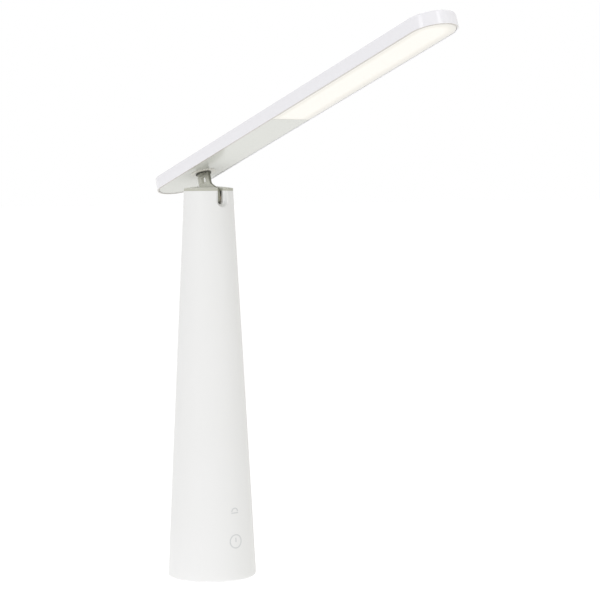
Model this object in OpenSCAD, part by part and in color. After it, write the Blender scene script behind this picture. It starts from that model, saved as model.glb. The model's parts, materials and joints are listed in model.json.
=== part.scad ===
// Folding LED desk lamp: a cordless cone column, a flat neck on a fold hinge in the
// column's rim, and a long flat head that swivels on the neck.
// Millimetres, +Z up. The origin is the centre of the foot on the table, and the
// head points to -Y. The lamp is symmetric about X = 0, apart from small hardware.

/* [Column] */
// Height of the white shell above the table
column_h = 300; // [285:1:320]
// Outer diameter of the shell at the bottom
base_d = 68.6; // [67:0.2:74]
// Outer diameter of the shell at the rim
top_d = 38; // [37.6:0.2:42]
// Thickness of the shell's wall
shell_wall = 2.2; // [1.8:0.1:2.5]
// Rounding of the shell's bottom edge
edge_r = 2; // [1:0.1:2]

/* [Notch] */
// Width of the slot that the neck swings through
slot_w = 4.6; // [4.2:0.1:5]
// Depth of the slot below the rim
slot_depth = 10.4; // [10:0.1:11]
// Radius of the recess around the slot, at its flat back
recess_r = 3.6; // [3.2:0.1:4]
// How fast the recess widens towards the outside
recess_flare = 0.667; // [0.5:0.05:0.8]
// Depth of the recess centre below the rim
recess_depth = 6.8; // [6:0.1:7.5]
// How far the flat back of the recess lies behind the rim's outer edge
recess_inset = 2.8; // [2.4:0.1:3]
// Wall left behind the recess
recess_wall = 1.6; // [1.3:0.1:1.7]

/* [Cap] */
// Height of the cap's straight edge above the shell
cap_edge_h = 1.9; // [1.5:0.1:2.5]
// Rise of the cap's dome above its edge
cap_rise = 1.6; // [1:0.1:2]
// Depth of the cap's spigot inside the shell
cap_spigot_h = 3.5; // [3:0.1:5]
// Thickness of the cap's spigot
cap_spigot_t = 1.5; // [1.2:0.1:2]

/* [Foot] */
// Thickness of the rubber foot pad
pad_t = 1.6; // [1.4:0.1:2.4]
// How far the foot pad stands below the shell
pad_proud = 0.6; // [0.4:0.1:1]
// Diameter of the foot pad
pad_d = 56; // [50:1:58]
// Thickness of the base plate
plate_t = 4.4; // [4:0.1:6]
// Thickness of the steel ballast
ballast_t = 12; // [8:0.5:16]

/* [Fold hinge] */
// Distance of the fold pin in front of the column's axis
pin_front = 11; // [10.6:0.1:11]
// Depth of the fold pin below the rim
pin_depth = 5.5; // [5.2:0.1:6]
// Diameter of the fold pin
pin_d = 3; // [2.6:0.1:3]
// Thickness of each ear of the hinge bracket
ear_t = 2; // [1.6:0.1:2.4]
// Radius of each ear's eye
ear_r = 3.1; // [2.8:0.1:3.1]
// Thickness of the hinge bracket's round base
bracket_t = 2; // [1.6:0.1:2.6]
// Thickness of each friction washer
friction_t = 0.4; // [0.3:0.05:0.5]

/* [Neck] */
// Thickness of the neck plate
neck_t = 2.2; // [2:0.1:2.4]
// Width of the neck's upright part
neck_w = 15.3; // [13:0.1:16]
// Radius of the neck's eye on the fold pin
eye_r = 3.2; // [3:0.1:3.2]
// How far the neck's centre stands behind the fold pin
neck_back = 11; // [10.5:0.1:11.5]
// Height of the head's underside above the fold pin
head_lift = 23.8; // [23:0.1:26]
// Tilt of the head above the horizontal at rest, in degrees
rest_tilt = 18; // [14:0.5:20]
// How far the neck folds back from rest before the slot stops it, in degrees
fold_back = 12; // [6:1:12]
// Width of the window in the neck
window_w = 5; // [4:0.1:6]
// Height of the window in the neck
window_h = 4.6; // [4:0.1:5]

/* [Head] */
// Length of the head in front of the neck
head_front = 303; // [290:1:304]
// Length of the head behind the neck
head_rear = 53; // [50:1:60]
// Width of the head
head_w = 36.4; // [35.4:0.2:40]
// Thickness of the head
head_t = 10; // [10:0.1:12]
// Rounding of the head's upper edge
head_edge_r = 1.2; // [0.6:0.1:1.4]
// Thickness of the housing's rim around the panels
rim_t = 1.4; // [1.2:0.1:1.8]
// Thickness of the housing's roof
roof_t = 1.6; // [1.4:0.1:2]
// Thickness of the rear cover and the diffuser
panel_t = 1.6; // [1.4:0.1:1.8]
// Depth of the panels behind the rim's edge
panel_inset = 0.3; // [0.2:0.1:0.5]
// Distance from the neck to the start of the diffuser
diffuser_start = 120; // [110:0.5:130]

/* [Swivel] */
// Diameter of the neck's swivel spigot
spigot_d = 10; // [9:0.1:11]
// Diameter of the bush's visible flange
bush_flange_d = 19.4; // [18:0.2:21]
// Thickness of the bush's flange
bush_flange_t = 0.5; // [0.4:0.05:0.7]
// Wall of the bush's sleeve
bush_wall = 1.45; // [1.2:0.05:1.6]
// Thickness of the thrust washer between the neck and the bush
thrust_t = 0.55; // [0.4:0.05:0.7]
// Wall of the thrust washer around the spigot
thrust_wall = 0.95; // [0.8:0.05:1.6]

/* [Light] */
// Thickness of the light guide
guide_t = 3; // [2.6:0.1:3]
// Length of one LED package
led_len = 2.8; // [2:0.1:3.5]
// Number of LEDs on each board
led_count = 20; // [12:1:24]

/* [Power] */
// Diameter of one battery cell
cell_d = 18.4; // [18:0.1:18.6]
// Length of one battery cell
cell_len = 65; // [60:1:70]
// Width of the charging socket
socket_w = 9; // [8.8:0.1:9.2]
// Height of the charging socket
socket_h = 3.2; // [3.1:0.1:3.4]

/* [Touch keys] */
// Height of the lower touch key above the table
lower_key_z = 31.4; // [30:0.1:36]
// Height of the upper touch key above the table
upper_key_z = 54.2; // [50:0.1:60]
// Diameter of the ring printed on the lower key
ring_d = 11; // [9:0.5:12]
// Width of the printed lines
line_w = 0.9; // [0.6:0.1:1.2]

/* [Hidden] */
$fn = 64;
tiny = 0.01;

// Clearances: a seat is flush, a fit turns or slides, and a gap stays open
fit = 0.03;
turn_fit = 0.05;
gap = 0.3;
board_t = 1.2;
ink_t = 0.1;
curve_steps = 8;

base_r = base_d / 2;
top_r = top_d / 2;
shell_z = pad_proud;
cone_angle = atan((base_r - top_r) / (column_h - shell_z));
edge_x = base_r - edge_r * tan(cone_angle) - edge_r / cos(cone_angle);

// Foot stack, from the table up
plate_z = shell_z;
plate_top = plate_z + plate_t;
ballast_top = plate_top + ballast_t;
boss_count = 3;
boss_r = 3.6;
boss_ring = base_r - shell_wall - boss_r - 1.6;
boss_first_angle = 30;
ballast_screw_x = 14;

// Self-tapping screws: shank radius, head radius and head height
screw_r = 1.25;
screw_head_r = 2.5;
screw_head_h = 1.6;
small_screw_r = 1;
small_head_r = 2.1;
small_head_h = 1.2;

// Inner frame and what it carries
frame_floor_t = 2;
frame_floor = ballast_top + frame_floor_t;
frame_wall = 2;
cell_r = cell_d / 2;
cell_gap = 1.2;
cell_x = cell_r + cell_gap / 2;
cup_clear = 0.3;
cup_wall = 1.4;
cup_h = 7;
frame_screw_x = cell_x + cell_r + cup_clear + cup_wall + screw_head_r + 1.2;
frame_screw_grip = 6;
cell_top = frame_floor + cell_len;
nub_h = 1;
back_wall_y = cell_r + cup_clear + cup_wall;
back_wall_x = cell_x + cell_r;
main_board_w = 32;
board_foot = 8;
board_head = 11;
main_board_h = cell_len - board_foot - board_head;
main_board_z = frame_floor + board_foot;
standoff_h = 1.6;
main_board_y = back_wall_y + frame_wall + standoff_h;
charge_board_w = 18;
charge_rib_h = 1.5;
board_clear = 1.8;
charge_board_z = frame_floor + charge_rib_h;
socket_z = charge_board_z + board_t + socket_h / 2;
socket_len = 7.4;
socket_recess = 0.6;
socket_mouth_y = shell_r(socket_z) - socket_recess - 0.3;
charge_board_y1 = socket_mouth_y - 3.4;
charge_board_y0 = back_wall_y + frame_wall + board_clear;

// What stands on the main board
chip_w = 6;
chip_t = 1;
coil_w = 7;
coil_t = 3.2;
capacitor_w = 5;
capacitor_h = 8;
capacitor_t = 2.4;
board_plug_w = 8;
board_plug_h = 5;
board_plug_t = 4;
lead_plug_z = main_board_z + main_board_h - 6;

// Touch board behind the front wall
touch_mid_z = (lower_key_z + upper_key_z) / 2;
touch_board_h = upper_key_z - lower_key_z + 18;
touch_board_w = 18;
touch_air = 1.8;
touch_pad_r = 5.2;

// Rim of the column: the slot, the recess and the hinge
pin_y = -pin_front;
pin_z = column_h - pin_depth;
pin_r = pin_d / 2;
slot_bottom_z = column_h - slot_depth;
slot_mid_z = slot_bottom_z + slot_w / 2;
recess_z = column_h - recess_depth;
recess_y = -(top_r - recess_inset);
recess_reach = 4.2;
bracket_top = slot_bottom_z - 0.6;
bracket_z = bracket_top - bracket_t;
ledge_t = 2;
ledge_r = 15;
cap_screw_x = 9.5;
cap_screw_y = 5;
cap_boss_r = 3;
ear_x = neck_t / 2 + turn_fit + friction_t;
pin_head_r = 2.9;
pin_head_h = 1.4;
spring_t = 0.6;
nut_h = 2.4;
nut_r = 3.1;

// Neck outline, in its own frame: the fold pin is the origin
arm_corner = 1.2;
arm_straight = 4.2;
neck_front = neck_back - neck_w / 2;
neck_rear = neck_back + neck_w / 2;
plate_gap = 0.3;
neck_top = head_lift - bush_flange_t + panel_inset - thrust_t - plate_gap;
window_z = neck_top - window_h / 2 - 2.3;
groove_w = 1.8;
groove_depth = 1.3;
cover_t = 0.4;
cover_h = 11;
groove_y = neck_rear - 2.2;

// Where the cap's slot ends, so that the neck tilts back by fold_back
stop_angle = rest_tilt + fold_back;
cap_top_z = column_h + cap_edge_h + cap_rise;
stop_rise = (cap_top_z - pin_z + neck_rear * sin(stop_angle)) / cos(stop_angle);
slot_end_y = pin_y + neck_rear * cos(stop_angle) + stop_rise * sin(stop_angle) + gap;

// Head levels, measured up from the rim's lower edge
half_w = head_w / 2;
panel_z = panel_inset;
ledge_z = panel_z + panel_t;
roof_z = head_t - roof_t;
panel_gap = 0.25;
ledge_w = 1.2;
cavity_inset = rim_t + ledge_w;
seam = 0.2;

// Swivel levels
spigot_r = spigot_d / 2;
bush_r = spigot_r + turn_fit;
sleeve_r = bush_r + bush_wall;
swivel_plate_t = 1.6;
swivel_plate_z = ledge_z + small_head_h + 0.3;
swivel_plate_top = swivel_plate_z + swivel_plate_t;
bush_top = swivel_plate_top + 0.5;
wave_t = 0.4;
clip_t = 0.7;
clip_z = bush_top + 2 * turn_fit + wave_t;
clip_r = 7.2;
groove_r = spigot_r - 0.8;
spigot_top = clip_z + clip_t + 0.6;
lead_bore_r = 1.6;
swivel_plate_x = half_w - cavity_inset - 1.1;
swivel_plate_y = 30;
swivel_screw_x = swivel_plate_x - 3.5;
swivel_screw_y = 24;
head_boss_r = 2.6;

// Light engine, hung under the roof
light_start = diffuser_start + 2.5;
spreader_t = 0.8;
reflector_t = 0.3;
spreader_z = roof_z - spreader_t;
reflector_z = spreader_z - reflector_t;
guide_z = reflector_z - guide_t;
led_board_t = 0.8;
led_depth = 0.7;
led_h = 1.6;
led_face_x = half_w - cavity_inset - led_board_t - led_depth;
guide_inset = half_w - led_face_x + 0.1;
frame_lip = 2.4;
front_mid_y = -(head_front - half_w);
rear_mid_y = head_rear - half_w;
led_run = -light_start - front_mid_y - 4;
terminal_l = 16;
terminal_w = 22;
plug_h = 2.4;

// Internal leads: routes chosen by hand, as round numbers
lead_d = 1.8;
thin_lead_d = 0.8;
column_route = [
    [0, main_board_y + board_t + 2, lead_plug_z + board_plug_h / 2],
    [0, main_board_y + board_t + 2, lead_plug_z + board_plug_h / 2 + 3],
    [0, main_board_y + board_t + 3, main_board_z + main_board_h + 7],
    [0, main_board_y, main_board_z + main_board_h + 24],
    [0, 9, column_h * 0.45],
    [0, 7, column_h * 0.62],
    [0, 6, column_h * 0.8],
    [0, 5, bracket_z - 12],
    [0, 5, bracket_top + 1]
];
neck_route = [
    [0.3, groove_y, neck_top - 9.5],
    [0.3, groove_y, neck_top - 5],
    [0.3, groove_y - 0.1, neck_top - 2.2],
    [0.3, groove_y - 1, neck_top - 1],
    [0.3, neck_back + 2, neck_top - 0.9],
    [0.2, neck_back + 0.3, neck_top + 0.6],
    [0, neck_back, neck_top + 4],
    [0, neck_back, neck_top + 8]
];
head_route = [
    [0, 0, spigot_top + 0.1],
    [0, -1.5, roof_z - 0.5],
    [0, -12, roof_z - 0.6],
    [0, -40, roof_z - 1.2],
    [0, -75, roof_z - 2],
    [0, -diffuser_start + terminal_l + 1, roof_z - board_t - plug_h / 2]
];

// Outer radius of the shell at a height
function shell_r(z) = base_r + (top_r - base_r) * (z - shell_z) / (column_h - shell_z);

// Points of an arc about a centre, from angle a0 to a1
function arc(cx, cy, r, a0, a1) =
    [for (i = [0:curve_steps]) let (a = a0 + (a1 - a0) * i / curve_steps)
        [cx + r * cos(a), cy + r * sin(a)]];

// Point of a smooth curve through four neighbours, at t from 0 to 1
function blend4(a, b, c, d, t) =
    0.5 * (2 * b + (c - a) * t + (2 * a - 5 * b + 4 * c - d) * t * t
        + (3 * b - a - 3 * c + d) * t * t * t);

// Smooth path through a route, with some steps for each stretch
function smooth_path(route, steps) =
    let (last = len(route) - 1)
    [for (i = [0:last - 1]) for (k = [0:(i == last - 1 ? steps : steps - 1)])
        blend4(route[max(i - 1, 0)], route[i], route[i + 1], route[min(i + 2, last)],
            k / steps)];

function unit(v) = v / norm(v);

// Cone of the shell's shape between two heights, drawn in by an inset
module shell_cone(z0, z1, inset) {
    translate([0, 0, z0])
        cylinder(h = z1 - z0, r1 = shell_r(z0) - inset, r2 = shell_r(z1) - inset, $fn = 128);
}

// Frame on the shell's front: +X across, +Z up the slope, +Y into the wall
module on_front(z) {
    translate([0, -shell_r(z), z]) rotate([-cone_angle, 0, 0]) children();
}

// Tube with eight sides along a smooth route
module lead(route, diameter, steps) {
    path = smooth_path(route, steps);
    n = len(path);
    sides = 8;
    rings = [for (i = [0:n - 1])
        let (ahead = unit(path[min(i + 1, n - 1)] - path[max(i - 1, 0)]),
            across = unit(cross(ahead, [1, 0, 0])),
            side = cross(ahead, across))
        for (k = [0:sides - 1])
            path[i] + diameter / 2 * (across * cos(k * 360 / sides) + side * sin(k * 360 / sides))];
    walls = [for (i = [0:n - 2]) for (k = [0:sides - 1])
        [i * sides + k, i * sides + (k + 1) % sides,
            (i + 1) * sides + (k + 1) % sides, (i + 1) * sides + k]];
    polyhedron(rings, concat(walls, [[for (k = [sides - 1:-1:0]) k]],
        [[for (k = [0:sides - 1]) (n - 1) * sides + k]]), convexity = 6);
}

// Rod along X between two places
module x_rod(x0, x1, r) {
    translate([x0, 0, 0]) rotate([0, 90, 0]) cylinder(h = x1 - x0, r = r);
}

// Recess around the slot: a flared pocket with a round bottom, grown by some amount.
// Its straight part is a hair narrower, so that it crosses the round one.
module rim_recess(grow) {
    inner = recess_r + grow;
    outer = recess_r + grow + recess_reach * recess_flare;
    y0 = recess_y + grow;
    translate([0, y0, recess_z]) rotate([90, 0, 0])
        cylinder(h = recess_reach, r1 = inner, r2 = outer);
    translate([0, 0, recess_z])
        linear_extrude(cap_top_z - recess_z + 1)
            polygon([[fit - inner, y0], [inner - fit, y0], [outer - fit, y0 - recess_reach],
                [fit - outer, y0 - recess_reach]]);
}

// Slot in the front wall that the neck swings through, with a round bottom
module front_slot() {
    reach = base_r;
    translate([0, 0, slot_mid_z]) rotate([90, 0, 0]) linear_extrude(reach) {
        circle(r = slot_w / 2);
        translate([-slot_w / 2, 0]) square([slot_w, cap_top_z - slot_mid_z + 1]);
    }
}

// Slot through the cap, with a round end behind the neck
module cap_slot() {
    z0 = column_h - cap_spigot_h - 1;
    y1 = slot_end_y - slot_w / 2;
    translate([0, 0, z0]) linear_extrude(cap_top_z - z0 + 1) {
        translate([0, y1]) circle(r = slot_w / 2);
        translate([-slot_w / 2, -top_r - 1]) square([slot_w, y1 + top_r + 1]);
    }
}

module at_bosses() {
    for (i = [0:boss_count - 1])
        rotate([0, 0, boss_first_angle + i * 360 / boss_count])
            translate([boss_ring, 0, 0]) children();
}

module column_shell() {
    color("whitesmoke") difference() {
        union() {
            difference() {
                rotate_extrude($fn = 128) polygon(concat(
                    [[0, shell_z]],
                    arc(edge_x, shell_z + edge_r, edge_r, -90, cone_angle),
                    [[top_r, column_h], [0, column_h]]));
                shell_cone(shell_z - 1, column_h + 1, shell_wall);
            }
            difference() {
                shell_cone(bracket_top, bracket_top + ledge_t, shell_wall / 2);
                translate([0, 0, bracket_top - 1]) cylinder(h = ledge_t + 2, r = ledge_r);
            }
            intersection() {
                shell_cone(bracket_top, column_h, shell_wall / 2);
                rim_recess(recess_wall);
            }
            intersection() {
                shell_cone(plate_top, ballast_top, shell_wall / 2);
                at_bosses() {
                    translate([0, 0, plate_top]) cylinder(h = ballast_t, r = boss_r);
                    translate([0, -1, plate_top]) cube([boss_r + 6, 2, ballast_t]);
                }
            }
        }
        rim_recess(0);
        front_slot();
        at_bosses() translate([0, 0, plate_top - 1])
            cylinder(h = ballast_t - 1, r = screw_r + fit);
        socket_hole(gap);
    }
}

// Obround of the charging socket, along Y, grown by some amount
module socket_hole(grow) {
    translate([0, base_r + 2, socket_z]) rotate([90, 0, 0])
        linear_extrude(base_r / 3) socket_outline(grow);
}

module socket_outline(grow) {
    r = socket_h / 2 + grow;
    flat = socket_w - socket_h;
    square([flat, 2 * r], center = true);
    for (side = [-1, 1]) translate([side * flat / 2, 0]) circle(r = r, $fn = 32);
}

module top_cap() {
    dome_r = (top_r * top_r + cap_rise * cap_rise) / (2 * cap_rise);
    dome_half = asin(top_r / dome_r);
    color("darkgray") difference() {
        union() {
            rotate_extrude($fn = 128) polygon(concat(
                [[0, column_h], [top_r, column_h]],
                [for (i = [0:curve_steps]) let (a = dome_half * (1 - i / curve_steps))
                    [dome_r * sin(a), cap_top_z - dome_r + dome_r * cos(a)]]));
            difference() {
                shell_cone(column_h - cap_spigot_h, column_h + cap_edge_h / 2, shell_wall + fit);
                translate([0, 0, column_h - cap_spigot_h - 1])
                    cylinder(h = cap_spigot_h + 1 + tiny,
                        r = top_r - shell_wall - cap_spigot_t);
                translate([-top_r, -top_r - 1, column_h - cap_spigot_h - 1])
                    cube([top_d, top_r, cap_spigot_h + 1]);
            }
            for (side = [-1, 1]) translate([side * cap_screw_x, cap_screw_y, bracket_top])
                cylinder(h = column_h - bracket_top + 0.5, r = cap_boss_r);
        }
        rim_recess(0);
        cap_slot();
        for (side = [-1, 1]) translate([side * cap_screw_x, cap_screw_y, bracket_top - 1])
            cylinder(h = 9.5, r = screw_r + fit);
    }
}

module hinge_bracket() {
    color("silver") difference() {
        union() {
            translate([0, 0, bracket_z])
                cylinder(h = bracket_t, r = shell_r(bracket_top) - shell_wall - fit, $fn = 128);
            for (side = [-1, 1]) mirror([side > 0 ? 0 : 1, 0, 0]) {
                translate([0, pin_y, pin_z]) x_rod(ear_x, ear_x + ear_t, ear_r);
                translate([ear_x, pin_y - ear_r, bracket_top - tiny])
                    cube([ear_t, 2 * ear_r, pin_z - bracket_top]);
            }
        }
        translate([0, pin_y, pin_z]) x_rod(-10, 10, pin_r + fit);
        for (side = [-1, 1]) translate([side * cap_screw_x, cap_screw_y, bracket_z - 1])
            cylinder(h = bracket_t + 2, r = screw_r + fit);
        translate([0, cap_screw_y, bracket_z - 1]) cylinder(h = bracket_t + 2, r = 3);
    }
}

module cap_screws() {
    color("dimgray") for (side = [-1, 1])
        translate([side * cap_screw_x, cap_screw_y, bracket_z]) {
            cylinder(h = bracket_t + 8, r = screw_r);
            translate([0, 0, -screw_head_h]) cylinder(h = screw_head_h, r = screw_head_r);
        }
}

module fold_pin() {
    far = ear_x + ear_t + spring_t + nut_h + 0.4;
    color("lightgray") translate([0, pin_y, pin_z]) {
        x_rod(-ear_x - ear_t, far, pin_r);
        x_rod(-ear_x - ear_t - pin_head_h, -ear_x - ear_t, pin_head_r);
    }
}

module friction_washers() {
    color("goldenrod") translate([0, pin_y, pin_z]) for (side = [-1, 1])
        difference() {
            x_rod(side * (ear_x - friction_t / 2) - friction_t / 2,
                side * (ear_x - friction_t / 2) + friction_t / 2, ear_r - 0.2);
            x_rod(-10, 10, pin_r + fit);
        }
}

module spring_washer() {
    color("slategray") translate([0, pin_y, pin_z]) difference() {
        x_rod(ear_x + ear_t, ear_x + ear_t + spring_t, ear_r - 0.1);
        x_rod(0, 10, pin_r + fit);
    }
}

module fold_nut() {
    x0 = ear_x + ear_t + spring_t;
    color("gainsboro") translate([0, pin_y, pin_z]) difference() {
        translate([x0, 0, 0]) rotate([0, 90, 0]) cylinder(h = nut_h, r = nut_r, $fn = 6);
        x_rod(0, 12, pin_r + fit);
    }
}

module base_plate() {
    color("gainsboro") difference() {
        shell_cone(plate_z, plate_top, shell_wall + fit);
        translate([0, 0, plate_z - 1]) cylinder(h = 1 + pad_t - pad_proud, r = pad_d / 2 + fit);
        at_bosses() {
            translate([0, 0, plate_z - 1]) cylinder(h = plate_t + 2, r = screw_r + fit);
            translate([0, 0, plate_z - 1])
                cylinder(h = 1 + pad_t - pad_proud + screw_head_h, r = screw_head_r + gap);
        }
        for (side = [-1, 1]) translate([side * ballast_screw_x, 0, plate_z - 1]) {
            cylinder(h = plate_t + 2, r = screw_r + fit);
            cylinder(h = 1 + pad_t - pad_proud + screw_head_h, r = screw_head_r + gap);
        }
    }
}

module foot_pad() {
    color("dimgray") cylinder(h = pad_t, r = pad_d / 2, $fn = 128);
}

module ballast() {
    r = shell_r(ballast_top) - shell_wall - 1.2;
    color("slategray") difference() {
        translate([0, 0, plate_top]) cylinder(h = ballast_t, r = r, $fn = 128);
        at_bosses() {
            translate([0, 0, plate_top - 1]) cylinder(h = ballast_t + 2, r = boss_r + gap);
            translate([0, -boss_r - gap, plate_top - 1])
                cube([boss_r + 8, 2 * (boss_r + gap), ballast_t + 2]);
        }
        for (side = [-1, 1]) translate([side * ballast_screw_x, 0, plate_top - 1])
            cylinder(h = ballast_t - 2, r = screw_r + fit);
        for (side = [-1, 1]) translate([side * frame_screw_x, 0, ballast_top - frame_screw_grip - 1])
            cylinder(h = frame_screw_grip + 2, r = screw_r + fit);
    }
}

// Screw that stands head down, with its head's seat at the origin
module screw_up(length) {
    cylinder(h = length, r = screw_r);
    translate([0, 0, -screw_head_h]) cylinder(h = screw_head_h, r = screw_head_r);
}

module base_screws() {
    seat = plate_z + pad_t - pad_proud + screw_head_h;
    color("dimgray") at_bosses() translate([0, 0, seat])
        screw_up(plate_top - seat + ballast_t - 4);
}

module ballast_screws() {
    seat = plate_z + pad_t - pad_proud + screw_head_h;
    color("dimgray") for (side = [-1, 1]) translate([side * ballast_screw_x, 0, seat])
        screw_up(plate_top - seat + ballast_t - 4);
}

module cell_cups(z, height) {
    for (side = [-1, 1]) translate([side * cell_x, 0, z])
        cylinder(h = height, r = cell_r + cup_clear + cup_wall);
}

module cell_holes(z, height) {
    for (side = [-1, 1]) translate([side * cell_x, 0, z])
        cylinder(h = height, r = cell_r + cup_clear);
}

module inner_frame() {
    rail_y = shell_wall + touch_air + board_t;
    color("lightgray") difference() {
        union() {
            translate([0, 0, ballast_top])
                cylinder(h = frame_floor_t, r = shell_r(frame_floor) - shell_wall - 0.8, $fn = 128);
            cell_cups(frame_floor - tiny, cup_h);
            translate([-back_wall_x, back_wall_y, frame_floor - tiny])
                cube([2 * back_wall_x, frame_wall, cell_len + tiny]);
            for (side = [-1, 1]) for (z = [main_board_z + 4, main_board_z + main_board_h - 4])
                translate([side * (main_board_w / 2 - 4), back_wall_y + frame_wall / 2, z])
                    rotate([-90, 0, 0]) cylinder(h = frame_wall / 2 + standoff_h, r = 2);
            for (side = [-1, 1])
                translate([side * (charge_board_w / 2 - 2) - 1, charge_board_y0, frame_floor - tiny])
                    cube([2, charge_board_y1 - charge_board_y0 - 1, charge_rib_h + tiny]);
            intersection() {
                on_front(touch_mid_z) translate([-touch_board_w / 2, rail_y, -touch_board_h])
                    cube([touch_board_w, frame_wall, touch_board_h * 1.5]);
                translate([-base_r, -base_r, frame_floor - tiny]) cube([base_d, base_r, column_h / 2]);
            }
        }
        cell_holes(frame_floor, cell_len);
        for (side = [-1, 1]) translate([side * frame_screw_x, 0, ballast_top - 1])
            cylinder(h = frame_floor_t + 2, r = screw_r + fit);
    }
}

module frame_screws() {
    color("dimgray") for (side = [-1, 1]) translate([side * frame_screw_x, 0, frame_floor]) {
        translate([0, 0, -frame_floor_t - frame_screw_grip])
            cylinder(h = frame_floor_t + frame_screw_grip, r = screw_r);
        cylinder(h = screw_head_h, r = screw_head_r);
    }
}

module battery_cell(side) {
    color("steelblue") translate([side * cell_x, 0, frame_floor]) {
        cylinder(h = cell_len - nub_h, r = cell_r);
        cylinder(h = cell_len, r = 3);
    }
}

module battery_cell_left() {
    battery_cell(-1);
}

module battery_cell_right() {
    battery_cell(1);
}

module battery_clamp() {
    lip_h = 6;
    color("gray") difference() {
        union() {
            cell_cups(cell_top - cup_h, cup_h);
            translate([-back_wall_x, -cell_r, cell_top])
                cube([2 * back_wall_x, cell_r + back_wall_y + 2 * frame_wall + fit, frame_wall]);
            translate([-back_wall_x / 2, back_wall_y + frame_wall + fit, cell_top - lip_h])
                cube([back_wall_x, frame_wall, lip_h + tiny]);
        }
        cell_holes(cell_top - cup_h - 1, cup_h + 1);
        translate([-back_wall_x - 1, back_wall_y - fit, cell_top - cup_h - 1])
            cube([2 * back_wall_x + 2, frame_wall + 2 * fit, cup_h + 1]);
    }
}

module main_board() {
    color("darkgreen") translate([-main_board_w / 2, main_board_y, main_board_z])
        cube([main_board_w, board_t, main_board_h]);
}

// Controller chip, coil, capacitor and two plugs on the board's rear face
module main_board_parts() {
    parts = [
        [0, main_board_z + main_board_h * 0.26, chip_w, chip_w, chip_t],
        [coil_w + 1, main_board_z + main_board_h * 0.52, coil_w, coil_w, coil_t],
        [-coil_w - 2, main_board_z + main_board_h * 0.52, capacitor_w, capacitor_h, capacitor_t],
        [0, lead_plug_z, board_plug_w, board_plug_h, board_plug_t],
        [-board_plug_w, main_board_z + board_foot, board_plug_w, board_plug_h, board_plug_t]
    ];
    color("black") for (p = parts)
        translate([p[0] - p[2] / 2, main_board_y + board_t, p[1] - p[3] / 2])
            cube([p[2], p[4], p[3]]);
}

module charge_board() {
    color("darkgreen") translate([-charge_board_w / 2, charge_board_y0, charge_board_z])
        cube([charge_board_w, charge_board_y1 - charge_board_y0, board_t]);
}

module charge_socket() {
    shell_t = 0.3;
    color("silver") translate([0, socket_mouth_y, socket_z]) rotate([90, 0, 0]) {
        difference() {
            linear_extrude(socket_len) socket_outline(0);
            translate([0, 0, -1]) linear_extrude(socket_len) socket_outline(-shell_t);
        }
        translate([-3.35, -0.35, 0.8]) cube([6.7, 0.7, socket_len - 1.2]);
    }
}

module touch_board() {
    color("darkgreen") on_front(touch_mid_z)
        translate([-touch_board_w / 2, shell_wall + touch_air, -touch_board_h / 2])
            cube([touch_board_w, board_t, touch_board_h]);
}

module touch_pads() {
    color("black") for (z = [lower_key_z, upper_key_z]) intersection() {
        on_front(touch_mid_z) translate([0, shell_wall + touch_air, (z - touch_mid_z) / cos(cone_angle)])
            rotate([90, 0, 0]) cylinder(h = touch_air + 3, r = touch_pad_r);
        shell_cone(z - 2 * touch_pad_r, z + 2 * touch_pad_r, shell_wall + fit);
    }
}

// Printed line work, kept on the shell's surface as a film of ink
module print_on_front(z) {
    intersection() {
        difference() {
            shell_cone(z - ring_d, z + ring_d, -ink_t);
            shell_cone(z - ring_d - 1, z + ring_d + 1, 0);
        }
        on_front(z) rotate([90, 0, 0]) translate([0, 0, -3]) linear_extrude(6) children();
    }
}

module touch_marks() {
    r = ring_d / 2;
    small = ring_d * 0.28;
    color("silver") {
        print_on_front(lower_key_z) {
            difference() {
                circle(r = r);
                circle(r = r - line_w);
            }
            translate([-line_w / 2, -r * 0.1]) square([line_w, r * 0.6]);
        }
        print_on_front(upper_key_z) {
            difference() {
                circle(r = small);
                circle(r = small - line_w);
                translate([-r, -r]) square([2 * r, r]);
            }
            translate([-small, -line_w * 1.6]) square([2 * small, line_w]);
        }
    }
}

module column_lead() {
    color("firebrick") lead(column_route, lead_d, 7);
}

// Frame of the neck: the fold pin is the origin, and the head lies level
module neck_pose() {
    translate([0, pin_y, pin_z]) rotate([-rest_tilt, 0, 0]) children();
}

// Frame of the head: the neck's centre on the level of the rim's lower edge
module head_pose() {
    neck_pose() translate([0, neck_back, head_lift]) children();
}

// Side view drawn in Y and Z, given a thickness along X
module side_plate(x0, x1) {
    translate([x0, 0, 0]) rotate([90, 0, 90]) linear_extrude(x1 - x0) children();
}

// Point of the neck's side view, given as it stands upright at rest
function at_rest(y, z) =
    [y * cos(rest_tilt) - z * sin(rest_tilt), y * sin(rest_tilt) + z * cos(rest_tilt)];

// The arm in the slot has a straight front edge and a rounded corner below the pin
module neck_outline() {
    circle(r = eye_r);
    translate(at_rest(-eye_r + arm_corner, -eye_r + arm_corner)) circle(r = arm_corner);
    polygon([at_rest(-eye_r + arm_corner, -eye_r), at_rest(-eye_r, -eye_r + arm_corner),
        at_rest(-eye_r, arm_straight), at_rest(-eye_r + 0.4, arm_straight + 1.3),
        at_rest(-eye_r + 0.75, arm_straight + 2.1), [neck_front - 5, 8.4], [neck_front + 0.6, 13.2],
        [neck_front, neck_top], [neck_rear, neck_top], [neck_rear, 12.4],
        [neck_rear - 2.2, 8.6], [2.2, -eye_r + 0.9], at_rest(0, -eye_r)]);
}

// Groove for the lead in the neck's right face
module groove_outline() {
    translate([groove_y - groove_w / 2, 0]) square([groove_w, neck_top - tiny]);
    translate([neck_back - lead_bore_r, neck_top - groove_w])
        square([groove_y - neck_back + lead_bore_r, groove_w - tiny]);
}

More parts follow.
